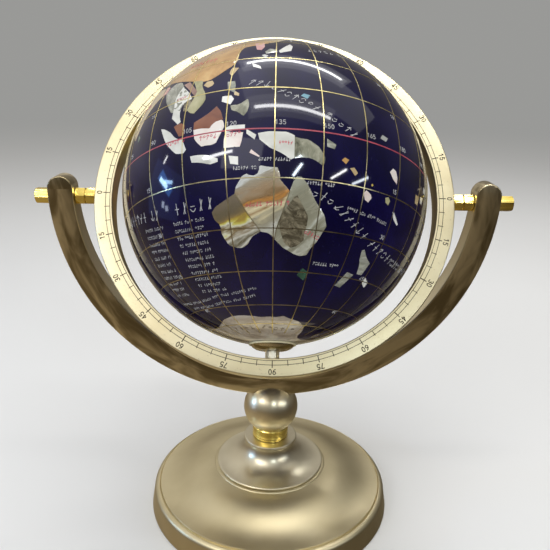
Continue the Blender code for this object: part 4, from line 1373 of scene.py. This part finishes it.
GILT = gilt_finish()
set_in_ball("gilt_meridians", meridian_wires(), GILT)
bm = bmesh.new()
for latitude in PARALLELS:
    parallel_strip(bm, latitude, WIRE_WIDTH, WIRE_TOP - CROSSING_DROP)
set_in_ball("gilt_parallels", bm, GILT)
set_in_ball("gilt_seams", seam_wires(), GILT)
bm = bmesh.new()
parallel_strip(bm, 0, EQUATOR_WIDTH, WIRE_TOP - 2 * CROSSING_DROP)
RED_FILLING = enamel("red_enamel", (0.30, 0.03, 0.06), (0.50, 0.07, 0.10), 200, 1.0, 0.35, 0.1)
set_in_ball("red_equator", bm, RED_FILLING)


# ---------------------------------------------------------------------------------------------
# Numbers and rows of strokes. They are printed in thick enamel after the ball is polished: white
# over the sea, red over the lands and dark brown over the ice. The rows only stand in for
# writing.
# ---------------------------------------------------------------------------------------------
INK_TOP, INK_BED = BALL_RADIUS + 0.055 * MM, BALL_RADIUS - 0.05 * MM
DIGIT_INK = 0.26                    # width of a digit's strokes, in mm


def stroke_edges(points, width):
    """The left and right edges of a stroke of that width along a line of points."""
    points = [Vector(p) for p in points]
    lefts, rights = [], []
    for k, point in enumerate(points):
        before = point - points[k - 1] if k else points[1] - point
        after = points[k + 1] - point if k + 1 < len(points) else before
        before, after = before.normalized(), after.normalized()
        heading = (before + after).normalized() if (before + after).length > 0.1 else after
        side = Vector((-heading.y, heading.x)) * (width / 2 / max(heading.dot(after), 0.6))
        lefts.append(point + side)
        rights.append(point - side)
    return lefts, rights


def lay_stroke(bm, line, width, origin, along, up):
    """One raised stroke, from a line of points in mm on the flat that touches the ball at origin."""
    edges = []
    for edge in stroke_edges(line, width):
        edges.append([(origin + (along * p.x + up * p.y) * (MM / BALL_RADIUS)).normalized() for p in edge])
    lay_strip(bm, *edges, top=INK_TOP, bed=INK_BED)


def lay_number(bm, number, longitude, latitude, height):
    """A number on the ball, upright and centred on a place."""
    origin = on_ball(longitude, latitude)
    along = TOP.cross(origin).normalized()
    up = origin.cross(along)
    for line in digit_lines(str(number), height):
        lay_stroke(bm, line, DIGIT_INK, origin, along, up)


def stroke_kind(kind, height, lean):
    """One mark of a row, as a line of points in mm: a bar, a leaning bar, an arch, a dish or a dash."""
    wide = 0.55 * height
    shapes = {
        "bar": [(0, 0), (0, height)],
        "lean": [(-wide / 3, 0), (wide / 3, height * 0.9)],
        "arch": [(x * wide / 2, height * (0.85 - 0.25 * x * x)) for x in (-1, -0.5, 0, 0.5, 1)],
        "dish": [(x * wide / 2, height * (0.05 + 0.25 * x * x)) for x in (-1, -0.5, 0, 0.5, 1)],
        "dash": [(-wide / 2.5, height / 2), (wide / 2.5, height / 2)],
    }
    return [(x + y * lean, y) for x, y in shapes[kind]]


def lay_row(bm, draw, places, height, width, lean=0.0, word=(4, 9), pitch=0.72):
    """A row of marks in groups, along a line of places, each given as (longitude, latitude).

    Height and width of stroke are in mm. A group has from word[0] to word[1] marks, each of two
    strokes laid over each other, and pitch is their spacing as a share of the height.
    """
    stops = [on_ball(*place) for place in places]
    lengths = [a.angle(b) * BALL_RADIUS / MM for a, b in zip(stops, stops[1:])]
    travelled, left = 0.5 * height, draw.randint(*word)
    while travelled < sum(lengths) - 0.3 * height:
        leg, rest = 0, travelled
        while rest > lengths[leg]:
            rest -= lengths[leg]
            leg += 1
        start, end = stops[leg], stops[leg + 1]
        origin = start.slerp(end, rest / lengths[leg])
        along = (end - start - origin * origin.dot(end - start)).normalized()
        for kind in draw.sample(("bar", "lean", "arch", "dish", "dash"), 2):
            lay_stroke(bm, stroke_kind(kind, height, lean), width, origin, along, origin.cross(along))
        left -= 1
        travelled += pitch * height
        if left <= 0:
            travelled += 0.7 * height
            left = draw.randint(*word)


WHITE_INK = enamel("white_enamel", (0.34, 0.34, 0.34), (0.56, 0.56, 0.55))
EQUATOR_DIGITS, SCALE_DIGITS = 2.0, 1.8         # heights, in mm
EQUATOR_EAST, EQUATOR_NORTH = 1.7, 2.2          # degrees from a crossing to a number's middle
SCALE_EAST, SCALE_NORTH = -1.6, -1.8
bm = bmesh.new()
for longitude in range(0, 360, 15):
    shown = min(longitude, 360 - longitude)
    lay_number(bm, shown, longitude + EQUATOR_EAST, EQUATOR_NORTH, EQUATOR_DIGITS)
for longitude in (0, 90, 180, 270):
    for latitude in (15, 30, 45, 60):
        for side in (1, -1):
            lay_number(bm, latitude, longitude + SCALE_EAST, side * (latitude + SCALE_NORTH), SCALE_DIGITS)
set_in_ball("white_numbers", bm, WHITE_INK)

draw = random.Random(7)
sea_rows = [        # the places, height, stroke's width, lean, least and most marks in a group, pitch
    ([(68, -20.5), (80, -22), (93, -23.5)], 4.4, 0.34, 0, (6, 6)),
    ([(98.5, -23.5), (118.5, -23)], 4.8, 0.34, 0, (5, 5), 0.85),
]
for k in range(11):
    latitude = -26.5 - 2.4 * k
    sea_rows.append(([(80 - 0.6 * k, latitude + 1), (92 - 0.6 * k, latitude)], 1.5, 0.17, 0, (3, 8)))
    sea_rows.append(([(97 - 0.1 * k, latitude), (111.5, latitude)], 1.5, 0.17, 0, (2, 9)))
sea_rows += [
    ([(72, -53.5), (105, -53), (128, -50.5)], 1.4, 0.17),
    ([(78, -56.5), (105, -56), (127, -53.5)], 1.4, 0.17),
    ([(125.5, 16.5), (132.5, 15), (138, 11.5), (154, 3.5), (161, -1)], 3.4, 0.26, 0.35, (10, 10), 0.95),
    ([(146, -19.5), (154, -22), (160, -26), (172, -32), (188, -35.5)], 3.8, 0.30, 0.35, (9, 9), 0.95),
    ([(188, -35.5), (200, -36), (214, -35)], 3.4, 0.26, 0.1, (5, 8)),
    ([(148, 36.5), (162, 39), (175, 41)], 2.6, 0.3, 0, (5, 5), 1.1),
]
for start, end, latitude in ((130, 141.5, -10), (122, 130, -12.5), (145, 154.5, -16.5), (151, 164, -41)):
    sea_rows.append(([(start, latitude), (end, latitude)], 1.5, 0.22, 0, (5, 6)))
sea_rows += [
    ([(159.5, -22.5), (170, -23.5), (179, -24.5)], 1.5, 0.22, 0, (3, 8)),
    ([(60, 14), (65, 15.5)], 1.8, 0.25),
    ([(-50, 30), (-30, 34), (-14, 38)], 3.8, 0.4, 0.2, (8, 8)),
    ([(-30, -18), (-15, -24), (-4, -30)], 3.8, 0.4, 0.2, (5, 8)),
    ([(-170, 32), (-152, 30), (-135, 30)], 4.0, 0.45, 0, (7, 7)),
    ([(-150, -12), (-132, -16), (-112, -24)], 4.0, 0.45, 0.2, (7, 7)),
    ([(-120, -48), (-100, -52), (-84, -52)], 2.4, 0.3, 0.2),
    ([(5, -50), (30, -54), (55, -52)], 2.4, 0.3, 0.2),
]
bm = bmesh.new()
for row in sea_rows:
    lay_row(bm, draw, *row)
set_in_ball("white_stroke_rows", bm, WHITE_INK)

land_rows = (       # the first place, the last place and the height
    ((125.5, -23.5), (140.5, -23), 1.9), ((145.5, -31), (152.5, -33.5), 1.9),
    ((111, -2.2), (118, -2), 2.2), ((120, -2.2), (126, -1.8), 2.2), ((98.5, -1.4), (106, -1.2), 1.9),
    ((99.8, 15.3), (105.5, 15.3), 1.4), ((136, -5), (141, -5), 1.6), ((97, 33), (112, 32), 3.0),
    ((72, 21.5), (82, 20.5), 1.8), ((84, 64), (98, 65), 2.4), ((-110, 60), (-92, 58), 2.2),
    ((-108, 40), (-90, 39), 2.4), ((-62, -7), (-46, -8), 2.2), ((14, 2), (26, 1), 1.8),
    ((0, 27), (8, 27), 1.6),
)
bm = bmesh.new()
for start, end, height in land_rows:
    lay_row(bm, draw, [start, end], height, 0.25, word=(5, 8))
set_in_ball("red_stroke_rows", bm, enamel("scarlet_enamel", (0.42, 0.03, 0.06), (0.62, 0.08, 0.12)))

bm = bmesh.new()
lay_row(bm, draw, [(92, -71), (125, -70.5), (165, -71.5)], 2.8, 0.42, word=(4, 5), pitch=1.0)
set_in_ball("black_stroke_rows", bm, enamel("brown_enamel", (0.07, 0.045, 0.02), (0.15, 0.10, 0.05)))
